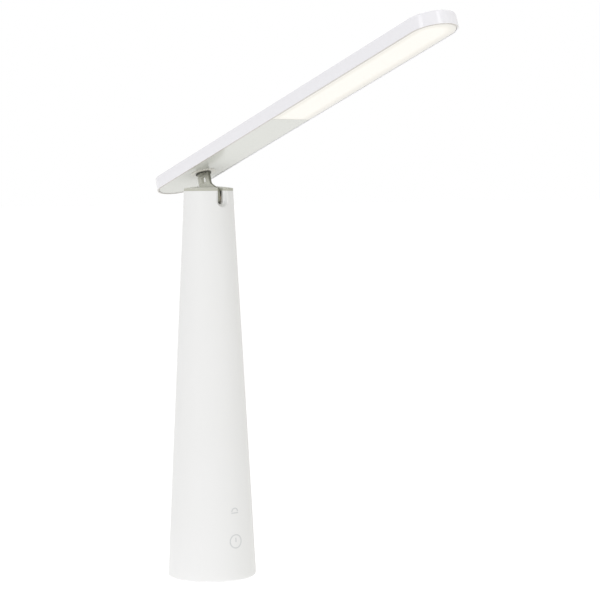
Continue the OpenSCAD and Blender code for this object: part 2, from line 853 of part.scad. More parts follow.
module neck_link() {
    color("darkgray") neck_pose() difference() {
        union() {
            side_plate(-neck_t / 2, neck_t / 2) neck_outline();
            translate([0, neck_back, neck_top - 0.5])
                cylinder(h = head_lift + spigot_top - neck_top + 0.5, r = spigot_r);
        }
        x_rod(-5, 5, pin_r + turn_fit);
        translate([0, neck_back, 0]) side_plate(-5, 5)
            translate([-window_w / 2, window_z - window_h / 2]) square([window_w, window_h]);
        side_plate(neck_t / 2 - groove_depth, 5) groove_outline();
        translate([0, neck_back, neck_top - 0.2])
            cylinder(h = head_lift + spigot_top - neck_top + 1, r = lead_bore_r);
        translate([0, neck_back, head_lift + clip_z - fit]) difference() {
            cylinder(h = clip_t + 2 * fit, r = spigot_r + 1);
            translate([0, 0, -1]) cylinder(h = clip_t + 3, r = groove_r);
        }
    }
}

module neck_cover() {
    color("gray") neck_pose() intersection() {
        side_plate(neck_t / 2 - cover_t, neck_t / 2) neck_outline();
        side_plate(0, 5) difference() {
            offset_groove();
            square([2 * neck_rear + cover_h, 2 * (neck_top - cover_h)], center = true);
        }
    }
}

// Groove outline drawn in by the fit, for the cover strip
module offset_groove() {
    translate([groove_y - groove_w / 2 + fit, 0]) square([groove_w - 2 * fit, neck_top - fit]);
    translate([neck_back - lead_bore_r + fit, neck_top - groove_w + fit])
        square([groove_y - neck_back + lead_bore_r - fit, groove_w - 2 * fit]);
}

module neck_lead() {
    color("firebrick") neck_pose() lead(neck_route, thin_lead_d, 4);
}

module thrust_washer() {
    color("dimgray") neck_pose() translate([0, neck_back, neck_top]) difference() {
        cylinder(h = thrust_t, r = bush_r + thrust_wall);
        translate([0, 0, -1]) cylinder(h = thrust_t + 2, r = bush_r);
    }
}

module wave_washer() {
    color("silver") head_pose() translate([0, 0, bush_top + turn_fit]) difference() {
        cylinder(h = wave_t, r = clip_r - 0.2);
        translate([0, 0, -1]) cylinder(h = wave_t + 2, r = spigot_r + turn_fit);
    }
}

module retaining_clip() {
    color("dimgray") head_pose() translate([0, 0, clip_z]) difference() {
        cylinder(h = clip_t, r = clip_r);
        translate([0, 0, -1]) cylinder(h = clip_t + 2, r = groove_r + fit);
        translate([-groove_r + 0.6, 0, -1]) cube([2 * groove_r - 1.2, 20, clip_t + 2]);
    }
}

// Long outline with round ends, drawn in by an inset
module head_outline(inset) {
    r = half_w - inset;
    for (y = [front_mid_y, rear_mid_y]) translate([0, y]) circle(r = r, $fn = 96);
    translate([-r, front_mid_y]) square([2 * r, rear_mid_y - front_mid_y]);
}

// Part of that outline in front of, or behind, a line across the head
module front_part(inset, y) {
    intersection() {
        head_outline(inset);
        translate([-head_w, y - 2 * head_front]) square([2 * head_w, 2 * head_front]);
    }
}

module rear_part(inset, y) {
    intersection() {
        head_outline(inset);
        translate([-head_w, y]) square([2 * head_w, 2 * head_front]);
    }
}

// Half of the head's cross-section, with a rounded upper edge
function half_section() =
    concat([[0, 0], [half_w, 0]],
        arc(half_w - head_edge_r, head_t - head_edge_r, head_edge_r, 0, 90), [[0, head_t]]);

module head_body() {
    section = half_section();
    for (y = [front_mid_y, rear_mid_y]) translate([0, y, 0]) rotate_extrude($fn = 96) polygon(section);
    translate([0, rear_mid_y, 0]) rotate([90, 0, 0]) linear_extrude(rear_mid_y - front_mid_y)
        polygon(concat(section, [for (i = [len(section) - 1:-1:0]) [-section[i][0], section[i][1]]]));
}

module at_swivel_screws() {
    for (sx = [-1, 1]) for (sy = [-1, 1])
        translate([sx * swivel_screw_x, sy * swivel_screw_y, 0]) children();
}

module head_housing() {
    color("white") head_pose() difference() {
        union() {
            difference() {
                head_body();
                translate([0, 0, -1]) linear_extrude(1 + ledge_z) head_outline(rim_t);
                translate([0, 0, -1]) linear_extrude(1 + roof_z) head_outline(cavity_inset);
            }
            at_swivel_screws() translate([0, 0, swivel_plate_top])
                cylinder(h = roof_z - swivel_plate_top + 0.5, r = head_boss_r);
        }
        at_swivel_screws() translate([0, 0, swivel_plate_top - 1])
            cylinder(h = roof_z - swivel_plate_top + 0.8, r = small_screw_r + fit);
    }
}

module rear_cover() {
    color("whitesmoke") head_pose() difference() {
        translate([0, 0, panel_z]) linear_extrude(panel_t)
            rear_part(rim_t + panel_gap, -diffuser_start + seam);
        translate([0, 0, -1]) cylinder(h = 5, r = sleeve_r + fit);
    }
}

module diffuser() {
    color("lightyellow") head_pose() translate([0, 0, panel_z]) linear_extrude(panel_t)
        front_part(rim_t + panel_gap, -diffuser_start);
}

module swivel_bush() {
    color("white") head_pose() difference() {
        union() {
            translate([0, 0, panel_z - bush_flange_t]) cylinder(h = bush_flange_t, r = bush_flange_d / 2);
            translate([0, 0, panel_z - tiny]) cylinder(h = bush_top - panel_z + tiny, r = sleeve_r);
        }
        translate([0, 0, -5]) cylinder(h = 20, r = bush_r);
    }
}

module swivel_bracket() {
    color("silver") head_pose() difference() {
        translate([-swivel_plate_x, -swivel_plate_y, swivel_plate_z])
            cube([2 * swivel_plate_x, 2 * swivel_plate_y, swivel_plate_t]);
        translate([0, 0, swivel_plate_z - 1]) cylinder(h = swivel_plate_t + 2, r = sleeve_r + fit);
        at_swivel_screws() translate([0, 0, swivel_plate_z - 1])
            cylinder(h = swivel_plate_t + 2, r = small_screw_r + fit);
    }
}

module bracket_screws() {
    color("dimgray") head_pose() at_swivel_screws() translate([0, 0, swivel_plate_z]) {
        cylinder(h = roof_z - swivel_plate_z - 0.4, r = small_screw_r);
        translate([0, 0, -small_head_h]) cylinder(h = small_head_h, r = small_head_r);
    }
}

module heat_spreader() {
    color("silver") head_pose() translate([0, 0, spreader_z]) linear_extrude(spreader_t)
        front_part(cavity_inset + fit, -light_start);
}

module reflector_sheet() {
    color("white") head_pose() translate([0, 0, reflector_z]) linear_extrude(reflector_t)
        front_part(guide_inset, -light_start);
}

module light_guide() {
    color("azure") head_pose() translate([0, 0, guide_z]) linear_extrude(guide_t)
        front_part(guide_inset, -light_start);
}

// White frame that holds the light guide off the diffuser
module guide_frame() {
    color("white") head_pose() translate([0, 0, ledge_z]) linear_extrude(guide_z - ledge_z)
        difference() {
            front_part(cavity_inset + fit, -light_start);
            front_part(cavity_inset + fit + frame_lip, -light_start - frame_lip);
        }
}

module led_board(side) {
    x0 = half_w - cavity_inset - led_board_t;
    color("ivory") head_pose() mirror([side > 0 ? 0 : 1, 0, 0])
        translate([x0, -light_start - led_run, guide_z])
            cube([led_board_t, led_run, guide_t]);
}

module led_board_left() {
    led_board(-1);
}

module led_board_right() {
    led_board(1);
}

module leds() {
    pitch = led_run / led_count;
    color("gold") head_pose() for (sx = [-1, 1]) for (i = [0:led_count - 1])
        translate([sx * (led_face_x + led_depth / 2), -light_start - pitch * (i + 0.5),
            guide_z + guide_t / 2])
            cube([led_depth, led_len, led_h], center = true);
}

module terminal_board() {
    y1 = -diffuser_start + terminal_l;
    color("darkgreen") head_pose() {
        translate([-terminal_w / 2, -diffuser_start, roof_z - board_t])
            cube([terminal_w, terminal_l, board_t]);
        translate([-3.5, y1 - 6, roof_z - board_t - plug_h]) cube([7, 6, plug_h + tiny]);
    }
}

module head_lead() {
    color("firebrick") head_pose() lead(head_route, thin_lead_d, 6);
}

column_shell();
top_cap();
hinge_bracket();
cap_screws();
fold_pin();
friction_washers();
spring_washer();
fold_nut();
base_plate();
foot_pad();
ballast();
base_screws();
ballast_screws();
inner_frame();
frame_screws();
battery_cell_left();
battery_cell_right();
battery_clamp();
main_board();
main_board_parts();
charge_board();
charge_socket();
touch_board();
touch_pads();
touch_marks();
column_lead();
neck_link();
neck_cover();
neck_lead();
thrust_washer();
wave_washer();
retaining_clip();
head_housing();
rear_cover();
diffuser();
swivel_bush();
swivel_bracket();
bracket_screws();
heat_spreader();
reflector_sheet();
light_guide();
guide_frame();
led_board_left();
led_board_right();
leds();
terminal_board();
head_lead();
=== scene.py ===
"""Looks of a folding desk lamp with a cone column: its moulded shells, glowing diffuser and studio."""
import json
import logging
import math
from dataclasses import dataclass, field, replace
from enum import Enum
from typing import Any, Callable, Sequence

import bmesh
import bpy
import numpy as np
from mathutils import Matrix, Vector
from mathutils.geometry import tessellate_polygon


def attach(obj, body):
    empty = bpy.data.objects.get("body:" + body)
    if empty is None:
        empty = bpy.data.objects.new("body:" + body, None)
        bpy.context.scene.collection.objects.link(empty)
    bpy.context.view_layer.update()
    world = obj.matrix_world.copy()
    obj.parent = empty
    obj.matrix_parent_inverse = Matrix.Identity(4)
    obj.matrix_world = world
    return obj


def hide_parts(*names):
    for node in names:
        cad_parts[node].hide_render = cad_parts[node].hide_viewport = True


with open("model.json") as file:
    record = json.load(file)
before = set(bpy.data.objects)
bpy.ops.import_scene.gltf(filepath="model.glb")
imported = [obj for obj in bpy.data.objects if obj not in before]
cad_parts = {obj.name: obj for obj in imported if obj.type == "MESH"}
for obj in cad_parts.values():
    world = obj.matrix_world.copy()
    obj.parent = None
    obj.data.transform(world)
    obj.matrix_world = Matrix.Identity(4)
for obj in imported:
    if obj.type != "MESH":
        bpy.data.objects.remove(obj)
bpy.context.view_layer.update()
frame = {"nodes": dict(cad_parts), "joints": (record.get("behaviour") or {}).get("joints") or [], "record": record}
log = logging.getLogger("desk_lamp")

MM = 0.001
IMAGE_SIDE_PX = 600
WELD = 2e-6
# Edges that turn by more than this stay sharp, on cut and on moulded pieces
SHARP_DEGREES = 40.0
MOULDED_DEGREES = 35.0
# How far brushed lines are drawn out: the pattern's scale along them
BRUSHED_SQUEEZE = 0.04
Array = np.ndarray
Node = bpy.types.Node
Tree = bpy.types.NodeTree
Piece = bpy.types.Object


# Mesh helpers

def grid_quads(rows: int, columns: int) -> Array:
    """Corner numbers of the quads of a grid of points.

    Args:
        rows: number of rows of points.
        columns: number of points in a row.

    Returns:
        An array of quads, four point numbers each.
    """
    first = np.arange(rows - 1)[:, None] * columns + np.arange(columns - 1)[None, :]
    return np.stack([first, first + 1, first + columns + 1, first + columns], axis=-1).reshape(-1, 4)


def spaced(low: float, high: float, count: int, crowd: float = 1.0) -> Array:
    """Numbers from low to high, crowded towards low by a power above one."""
    return low + (high - low) * np.linspace(0.0, 1.0, count) ** crowd


def arc_points(centre: Sequence[float], radius: float, start: float, stop: float, count: int) -> Array:
    """Points of a circular arc: centre plus radius times (cosine, sine) of degrees from start to stop."""
    turn = np.radians(np.linspace(start, stop, count))
    return np.asarray(centre, float) + radius * np.stack([np.cos(turn), np.sin(turn)], axis=1)


def rounded_path(corners: Array, radii: Sequence[float], steps: int = 5) -> Array:
    """An open path with each inner corner replaced by a curve that is tangent to both sides.

    Each corner becomes the quadratic curve between the two points one radius away from it.

    Args:
        corners: the path's corner points, one row each.
        radii: for each inner corner, how far from it the curve starts.
        steps: points along each curve.

    Returns:
        The points of the smoothed path.
    """
    points = np.asarray(corners, float)
    t = np.linspace(0.0, 1.0, steps)[:, None]
    pieces = [points[:1]]
    for before, corner, after, radius in zip(points, points[1:], points[2:], radii):
        start = corner + (before - corner) * radius / np.linalg.norm(before - corner)
        stop = corner + (after - corner) * radius / np.linalg.norm(after - corner)
        pieces.append((1 - t) ** 2 * start + 2 * t * (1 - t) * corner + t**2 * stop)
    return np.concatenate([*pieces, points[-1:]])


def mitres(outline: Array) -> Array:
    """Vectors that move a closed outline's points inwards by one unit, square to both neighbouring sides.

    Args:
        outline: points in order, turning anticlockwise.

    Returns:
        One vector for each point.
    """
    ahead = np.roll(outline, -1, axis=0) - outline
    ahead /= np.linalg.norm(ahead, axis=1, keepdims=True)
    left = np.stack([-ahead[:, 1], ahead[:, 0]], axis=1)
    both = left + np.roll(left, 1, axis=0)
    return 2.0 * both / np.sum(both**2, axis=1, keepdims=True)


def smooth_max(a: Array, b: Array, radius: float) -> Array:
    """The larger of two heights, with the crease between them rounded over a distance of radius."""
    blend = np.clip(0.5 + 0.5 * (a - b) / radius, 0.0, 1.0)
    return b * (1 - blend) + a * blend + radius * blend * (1 - blend)


def edge_drop(distance: Array, radius: float) -> Array:
    """How far a rounded edge falls away: a quarter circle over the last radius before the edge."""
    inside = np.clip(radius - distance, 0.0, radius)
    return radius - np.sqrt(radius**2 - inside**2)


def turned(radius: Array, height: Array, turn: Array) -> Array:
    """Points at a radius and a height about the third axis. A turn of zero faces the front, minus Y."""
    return np.stack([radius * np.sin(turn), -radius * np.cos(turn), height + 0 * turn], axis=-1)


def turned_parts(profile: Array, sides: int = 96) -> "Surface":
    """A surface of revolution about the third axis: each profile point (radius, height) goes round."""
    surface = Surface()
    surface.add_grid(turned(profile[:, :1], profile[:, 1:], np.pi * np.linspace(0.5, 2.5, sides + 1)))
    return surface


@dataclass
class Surface:
    """Grids and flat faces that are welded into one mesh. All points are in millimetres."""

    points: list[Array] = field(default_factory=list)
    faces: list[list[int]] = field(default_factory=list)
    count: int = 0

    def add_points(self, points: Array) -> int:
        """Adds points and returns the number of the first one."""
        start = self.count
        self.points.append(points.reshape(-1, 3))
        self.count += len(self.points[-1])
        return start

    def add_grid(self, points: Array) -> None:
        """Adds a grid of rows x columns x 3 points with its quads."""
        quads = grid_quads(points.shape[0], points.shape[1]) + self.add_points(points)
        self.faces.extend(quads.tolist())

    def add_rings(self, rings: Array) -> None:
        """Adds a grid whose rows are closed rings of points."""
        self.add_grid(np.concatenate([rings, rings[:, :1]], axis=1))

    def add_face(self, loop: Array) -> None:
        """Adds one flat face whose corners are the loop's points."""
        start = self.add_points(loop)
        self.faces.append(list(range(start, start + len(loop))))

    def add_surface(self, other: "Surface") -> None:
        """Adds all of another surface."""
        start = self.add_points(np.concatenate(other.points))
        self.faces.extend([[start + corner for corner in face] for face in other.faces])

    def moved(self, place: Callable[[Array], Array]) -> "Surface":
        """The same faces with every point put through place."""
        return Surface([place(np.concatenate(self.points))], [list(f) for f in self.faces], self.count)

    def to_object(self, name: str, sharp_degrees: float = SHARP_DEGREES) -> Piece:
        """Welds the points, turns the faces outwards and makes the object.

        Args:
            name: the piece's name.
            sharp_degrees: edges that turn by more than this stay sharp.

        Returns:
            The new object, at the origin, in metres.
        """
        mesh = bpy.data.meshes.new(name)
        mesh.from_pydata(np.concatenate(self.points) * MM, [], self.faces)
        work = bmesh.new()
        work.from_mesh(mesh)
        bmesh.ops.remove_doubles(work, verts=work.verts, dist=WELD)
        bmesh.ops.dissolve_degenerate(work, dist=WELD, edges=work.edges)
        bmesh.ops.recalc_face_normals(work, faces=work.faces)
        work.to_mesh(mesh)
        work.free()
        mesh.shade_smooth()
        mesh.set_sharp_from_angle(angle=math.radians(sharp_degrees))
        piece = bpy.data.objects.new(name, mesh)
        bpy.context.scene.collection.objects.link(piece)
        return piece


def edge_rings(outline: Array, profile: Array, way: float = 1.0) -> Array:
    """Rings round a closed outline: its points, moved inwards by each row's inset, at the row's height.

    Args:
        outline: closed outline, anticlockwise, in the plate's plane.
        profile: rows of (inset, height).
        way: 1 for an outer edge, -1 for the edge of a hole.

    Returns:
        A grid of points, one row for each ring.
    """
    flat = outline + profile[:, :1, None] * way * mitres(outline)
    height = np.broadcast_to(profile[:, 1:, None], (*flat.shape[:2], 1))
    return np.concatenate([flat, height], axis=2)


def swept_plate(outline: Array, profile: Array) -> Surface:
    """A solid plate: rings from the lower face round the edge to the upper face, and both flat faces."""
    rings = edge_rings(outline, profile)
    surface = Surface()
    surface.add_rings(rings)
    surface.add_face(rings[0])
    surface.add_face(rings[-1])
    return surface


def bar(outline: Array, low: float, high: float) -> Surface:
    """A straight bar with that outline, from low to high along the third axis."""
    return swept_plate(outline, np.array([[0.0, low], [0.0, high]]))


def cut_out(piece: Piece, cutter: Piece) -> None:
    """Cuts a closed cutter out of a closed piece, keeps the piece's mesh data and deletes the cutter."""
    boolean = piece.modifiers.new("cut", "BOOLEAN")
    boolean.object, boolean.operation, boolean.solver = cutter, "DIFFERENCE", "EXACT"
    bpy.context.view_layer.update()
    shape = bpy.data.meshes.new_from_object(piece.evaluated_get(bpy.context.evaluated_depsgraph_get()))
    piece.modifiers.remove(boolean)
    old, piece.data = piece.data, shape
    shape.name = piece.name
    bpy.data.meshes.remove(old)
    bpy.data.objects.remove(cutter)
    shape.shade_smooth()
    shape.set_sharp_from_angle(angle=math.radians(SHARP_DEGREES))


def join_into(piece: Piece, other: Piece) -> None:
    """Adds the faces of another object to a piece and deletes that object."""
    work = bmesh.new()
    work.from_mesh(piece.data)
    work.from_mesh(other.data)
    work.to_mesh(piece.data)
    work.free()
    bpy.data.objects.remove(other)


# Finishes

def linear(hex_colour: str) -> tuple[float, float, float, float]:
    """Turns an sRGB colour such as '#f0f0ee' into linear red, green, blue and an alpha of one."""
    value = np.array([int(hex_colour[i:i + 2], 16) / 255 for i in (1, 3, 5)])
    colour = np.where(value <= 0.04045, value / 12.92, ((value + 0.055) / 1.055) ** 2.4)
    return (*[float(c) for c in colour], 1.0)


def fresh_tree(owner: bpy.types.ID) -> Tree:
    """The emptied node tree of a material or world."""
    owner.use_nodes = True
    owner.node_tree.nodes.clear()
    return owner.node_tree


def add_node(tree: Tree, kind: str, links: dict[Any, Any] | None = None, **settings: Any) -> Node:
    """Adds a node with its settings and links.

    Args:
        tree: the node tree.
        kind: the type of shader node, in Blender's words.
        links: for each input, by name or number, a value, a node's first output or an output socket.
        settings: attributes of the node itself.

    Returns:
        The new node.
    """
    node = tree.nodes.new("ShaderNode" + kind)
    for key, value in settings.items():
        setattr(node, key, value)
    for key, value in (links or {}).items():
        if isinstance(value, bpy.types.Node):
            tree.links.new(value.outputs[0], node.inputs[key])
        elif isinstance(value, bpy.types.NodeSocket):
            tree.links.new(value, node.inputs[key])
        else:
            node.inputs[key].default_value = value
    return node


class Grain(Enum):
    """How the surface was made. Brushed relief runs along one direction, the others are even."""

    ERODED = "even grain left by a spark-eroded mould"
    BRUSHED = "fine lines along one direction"
    POLISHED = "long, faint waviness of a polished mould"


@dataclass(frozen=True)
class Finish:
    """One real finish: its colour, gloss and relief, all in real sizes."""

    name: str
    colour: str
    shade: str
    roughness: float = 0.5
    metallic: float = 0.0
    ior: float = 1.5
    grain: Grain = Grain.ERODED
    grain_mm: float = 1.0
    relief_mm: float = 0.01
    cloud_mm: float = 60.0
    gloss_spread: float = 0.04
    painted_glow: float = 0.0

    def coordinates(self, tree: Tree) -> Node:
        """Object coordinates in metres, squeezed along one axis for brushed lines."""
        place = add_node(tree, "TexCoord").outputs["Object"]
        stretch = (1.0, BRUSHED_SQUEEZE if self.grain is Grain.BRUSHED else 1.0, 1.0)
        return add_node(tree, "Mapping", {"Vector": place, "Scale": stretch})

    def dress(self, tree: Tree) -> Node:
        """Builds the shader that all finishes share and returns it."""
        place = self.coordinates(tree)
        cloud = add_node(tree, "TexNoise",
                         {"Vector": place, "Scale": 1.0 / (self.cloud_mm * MM), "Detail": 2.0})
        fine = add_node(tree, "TexNoise",
                        {"Vector": place, "Scale": 1.0 / (self.grain_mm * MM), "Detail": 3.0})
        tint = add_node(tree, "Mix", {0: cloud, 6: linear(self.colour), 7: linear(self.shade)},
                        data_type="RGBA")
        gloss = add_node(tree, "MapRange", {"Value": cloud, "To Min": self.roughness - self.gloss_spread,
                                            "To Max": self.roughness + self.gloss_spread})
        bump = add_node(tree, "Bump", {"Height": fine, "Distance": self.relief_mm * MM, "Strength": 1.0})
        shader = add_node(tree, "BsdfPrincipled", {"Base Color": tint.outputs[2], "Roughness": gloss,
                                                   "Normal": bump, "Metallic": self.metallic})
        if self.metallic < 0.5:  # a metal keeps the default
            shader.inputs["IOR"].default_value = self.ior
        # A painted glow: the surface gives off light of its own colour
        if self.painted_glow > 0.0:
            self.shine(tree, shader, tint.outputs[2], self.painted_glow)
        return shader

    def shine(self, tree: Tree, shader: Node, colour: bpy.types.NodeSocket, strength: float) -> None:
        """Lets the shader give off light of that colour."""
        tree.links.new(colour, shader.inputs["Emission Color"])
        shader.inputs["Emission Strength"].default_value = strength

    def material(self) -> bpy.types.Material:
        """The finish as a material, made once and then shared."""
        found = bpy.data.materials.get(self.name)
        if found:
            return found
        made = bpy.data.materials.new(self.name)
        tree = fresh_tree(made)
        add_node(tree, "OutputMaterial", {"Surface": self.dress(tree)})
        made.diffuse_color = linear(self.colour)
        return made


@dataclass(frozen=True)
class PrintedBoard(Finish):
    """Glass-epoxy board: solder mask over copper tracks, which show as paler, square-cornered bands."""

    track: str = "#2f7a45"
    track_mm: float = 2.2
    track_edge: tuple[float, float] = (0.42, 0.48)

    def dress(self, tree: Tree) -> Node:
        """Adds the tracks, as flat steps of a square-cell pattern."""
        shader = super().dress(tree)
        place = add_node(tree, "TexCoord").outputs["Object"]
        cells = add_node(tree, "TexVoronoi",
                         {"Vector": place, "Scale": 1.0 / (self.track_mm * MM), "Randomness": 0.7},
                         distance="MANHATTAN", feature="F1")
        low, high = self.track_edge
        step = add_node(tree, "MapRange", {"Value": cells, "From Min": low, "From Max": high})
        tint = add_node(tree, "Mix", {0: step, 6: linear(self.colour), 7: linear(self.track)},
                        data_type="RGBA")
        tree.links.new(tint.outputs[2], shader.inputs["Base Color"])
        return shader


@dataclass(frozen=True)
class PlacedFinish(Finish):
    """A finish that changes along the axes of a part that leans. Its origin is in metres."""

    origin: tuple[float, float, float] = (0.0, 0.0, 0.0)
    tilt_degrees: float = 0.0

    def axes(self, tree: Tree) -> list[bpy.types.NodeSocket]:
        """The shaded point in the part's own frame, in metres: its X, Y and Z."""
        local = add_node(tree, "Mapping", {"Vector": add_node(tree, "TexCoord").outputs["Object"],
                                           "Location": self.origin,
                                           "Rotation": (math.radians(self.tilt_degrees), 0.0, 0.0)},
                         vector_type="TEXTURE")
        return list(add_node(tree, "SeparateXYZ", {"Vector": local}).outputs)

    def fade(self, tree: Tree, distance: Any, none: float, full: float) -> Node:
        """A share from zero at one distance, in millimetres, to one at the other, along a soft curve."""
        return add_node(tree, "MapRange", {"Value": distance, "From Min": none * MM, "From Max": full * MM},
                        interpolation_type="SMOOTHSTEP")

    def multiply(self, tree: Tree, shader: Node, share: Any, colour: str) -> None:
        """Multiplies the shader's base colour by a colour where the share is one."""
        base = shader.inputs["Base Color"].links[0].from_socket
        darker = add_node(tree, "Mix", {0: share, 6: base, 7: linear(colour)},
                          data_type="RGBA", blend_type="MULTIPLY")
        tree.links.new(darker.outputs[2], shader.inputs["Base Color"])


@dataclass(frozen=True)
class RimShadeMoulding(PlacedFinish):
    """A moulding with painted shade: its lowest band, next to its parting face, is darkened where shade falls."""

    # rim is the colour of the painted shade on the lowest band
    rim: str = "#cfcbc1"
    rim_mm: float = 0.3
    shade_reach_mm: float = 8.0

    def dress(self, tree: Tree) -> Node:
        """Paints shade on the band up to a height, from the left side to a distance right of the middle."""
        shader = super().dress(tree)
        across, _, height = self.axes(tree)
        low = self.fade(tree, height, self.rim_mm, 0.5 * self.rim_mm)
        left = self.fade(tree, across, 2.0 * self.shade_reach_mm, self.shade_reach_mm)
        # Painted shade: the band's base colour is multiplied by the rim colour
        self.multiply(tree, shader, add_node(tree, "Math", {0: low, 1: left}, operation="MULTIPLY"), self.rim)
        return shader


@dataclass(frozen=True)
class ShadedNeckPaint(PlacedFinish):
    """Satin paint on a flat casting, with painted shade on its front edge and close under the head."""

    # edge is the colour of the painted shade on the front edge faces
    edge: str = "#acaca4"
    front_shade_mm: float = 6.0
    top_shade: str = "#acaba6"
    top_mm: float = 24.4
    middle_mm: float = 11.0
    top_shade_mm: float = 8.0
    top_shade_lean: float = 0.55
    faces_side: float = 0.8
    faces_ahead: float = 0.4

    def dress(self, tree: Tree) -> Node:
        """Paints shade on the front edge, by place and by the way it faces, and on the top under the head."""
        shader = super().dress(tree)
        _, back, up = self.axes(tree)
        way = add_node(tree, "SeparateXYZ", {"Vector": add_node(tree, "TexCoord").outputs["Normal"]})
        side = add_node(tree, "Math", {0: way}, operation="ABSOLUTE")
        # Painted shade on the front edge faces, which turn away from the light
        turned_away = add_node(tree, "MapRange", {"Value": side, "From Min": self.faces_side,
                                                  "From Max": self.faces_ahead})
        ahead = self.fade(tree, back, self.front_shade_mm, self.front_shade_mm - 1.0)
        front = add_node(tree, "Math", {0: turned_away, 1: ahead}, operation="MULTIPLY")
        self.multiply(tree, shader, front, self.edge)
        # Painted shade close under the head, deeper towards the front
        forward = add_node(tree, "Math", {0: self.middle_mm * MM, 1: back}, operation="SUBTRACT")
        height = add_node(tree, "Math", {0: forward, 1: self.top_shade_lean, 2: up}, operation="MULTIPLY_ADD")
        high = add_node(tree, "MapRange", {"Value": height, "From Min": (self.top_mm - self.top_shade_mm) * MM,
                                           "From Max": self.top_mm * MM})
        self.multiply(tree, shader, high, self.top_shade)
        return shader


@dataclass(frozen=True)
class OpalGlow(PlacedFinish):
    """Opal acrylic over an edge-lit guide: even light that warms and then fades towards its outline."""

    glow: str = "#fff7f0"
    warm_glow: str = "#ffe2b4"
    strength: float = 0.14
    half_width_mm: float = 16.6
    band_mm: float = 9.0
    seam_band_mm: float = 3.5
    seam_mm: float = 164.8

    def dress(self, tree: Tree) -> Node:
        """Adds the glow, worked out from the distances to the panel's outline and to its seam."""
        shader = super().dress(tree)
        across, back, _ = self.axes(tree)
        past_end = add_node(tree, "Math", {0: back, 1: 0.0}, operation="MINIMUM")
        flat = add_node(tree, "CombineXYZ", {"X": across, "Y": past_end})
        reach = add_node(tree, "VectorMath", {0: flat}, operation="LENGTH").outputs["Value"]
        inside = self.fade(tree, reach, self.half_width_mm, self.half_width_mm - self.band_mm)
        before_seam = self.fade(tree, back, self.seam_mm, self.seam_mm - self.seam_band_mm)
        lit = add_node(tree, "Math", {0: inside, 1: before_seam}, operation="MULTIPLY")
        tint = add_node(tree, "Mix", {0: lit, 6: linear(self.warm_glow), 7: linear(self.glow)},
                        data_type="RGBA")
        glow = add_node(tree, "Mix", {0: lit, 6: (0.0, 0.0, 0.0, 1.0), 7: tint.outputs[2]},
                        data_type="RGBA")
        self.shine(tree, shader, glow.outputs[2], self.strength)
        return shader


# Injection-moulded ABS with a satin white lacquer: soft, even sheen and no visible grain from afar
WHITE_LACQUER = Finish("lacquered_white_abs", "#ededed", "#ebebea", 0.42, grain_mm=1.4, relief_mm=0.002)
# Injection-moulded ABS from a polished mould: clear reflections that waver a little, with painted shade on the
# rim's lowest band on the near side
GLOSS_WHITE = RimShadeMoulding("polished_white_abs", "#edecf0", "#ebeaee", 0.15, grain=Grain.POLISHED,
                          grain_mm=14.0, relief_mm=0.003, gloss_spread=0.02)
# The same plastic under a clear coat on the underside cover, its colour darkened as painted shade for a face that
# looks down: a soft, strong mirror image of the neck
GLOSS_COVER = Finish("gloss_white_cover", "#cbccc6", "#c9cac4", 0.15, grain=Grain.POLISHED, grain_mm=18.0,
                     relief_mm=0.003, gloss_spread=0.02, ior=1.65)
# Glass-filled nylon in pale, warm grey: dull, with the fine pitting of an eroded mould; its lowest band is
# darkened as painted shade
CAP_GREY = RimShadeMoulding("moulded_grey_nylon", "#e4e4dc", "#dfdfd7", 0.62, grain_mm=0.8, relief_mm=0.02,
                       origin=(0.0, 0.0, 0.3), rim="#d8d8d2", rim_mm=2.4, shade_reach_mm=500.0)
# Die-cast zinc under satin paint: an even, pale warm grey with the casting's faint orange peel, and painted shade
# on the front edge and under the head
NECK_PAINT = ShadedNeckPaint("cast_zinc_satin_paint", "#dedfd5", "#d8d8cd", 0.36, grain_mm=0.7, relief_mm=0.006,
                       cloud_mm=9.0)
# The same paint on the thin pressed cover strip, a shade darker
NECK_TRIM = Finish("pressed_strip_satin_paint", "#d6d6cc", "#d0d0c6", 0.4, grain=Grain.BRUSHED,
                   grain_mm=0.4, relief_mm=0.004)
# Graphite-filled acetal of the thrust washer: a dark, dull line under the head, whose dark colour also stands in
# for the shade in the joint
ACETAL_DARK = Finish("graphite_filled_acetal", "#4a4941", "#403f38", 0.5, grain_mm=0.5, relief_mm=0.008)
# Acetal bush: waxy white, slightly warm, with a turned gloss that also shows the neck
BUSH_WHITE = Finish("turned_white_acetal", "#e2e0d8", "#dedcd3", 0.14, grain_mm=0.9, relief_mm=0.004)
# Moulded polystyrene parts out of sight: plain and matt
FRAME_GREY = Finish("moulded_grey_styrene", "#b8babb", "#b0b2b3", 0.6, grain_mm=0.9, relief_mm=0.015)
PLATE_WHITE = Finish("moulded_white_styrene", "#e6e6e4", "#e0e0de", 0.55, grain_mm=0.9, relief_mm=0.015)
# Steel strip with bright zinc plate: drawn lines and a cool sheen
ZINC_STEEL = Finish("zinc_plated_steel", "#c3c6c9", "#b4b8bd", 0.32, metallic=1.0, grain=Grain.BRUSHED,
                    grain_mm=0.3, relief_mm=0.004, cloud_mm=7.0, gloss_spread=0.07)
# The same strip inside the rim, with a faint painted glow that stands in for the dim light that the thin white
# shell lets through
HINGE_STEEL = Finish("zinc_plated_hinge", "#bdbab2", "#b2afa6", 0.4, metallic=1.0, grain=Grain.BRUSHED,
                     grain_mm=0.3, relief_mm=0.004, cloud_mm=7.0, painted_glow=0.09)
# Screws: blackened steel, a little worn on the edges of the heads
BLACK_STEEL = Finish("blackened_steel", "#3a3b3d", "#2c2d2f", 0.45, metallic=0.9, grain_mm=0.4,
                     relief_mm=0.008, cloud_mm=3.0, gloss_spread=0.1)
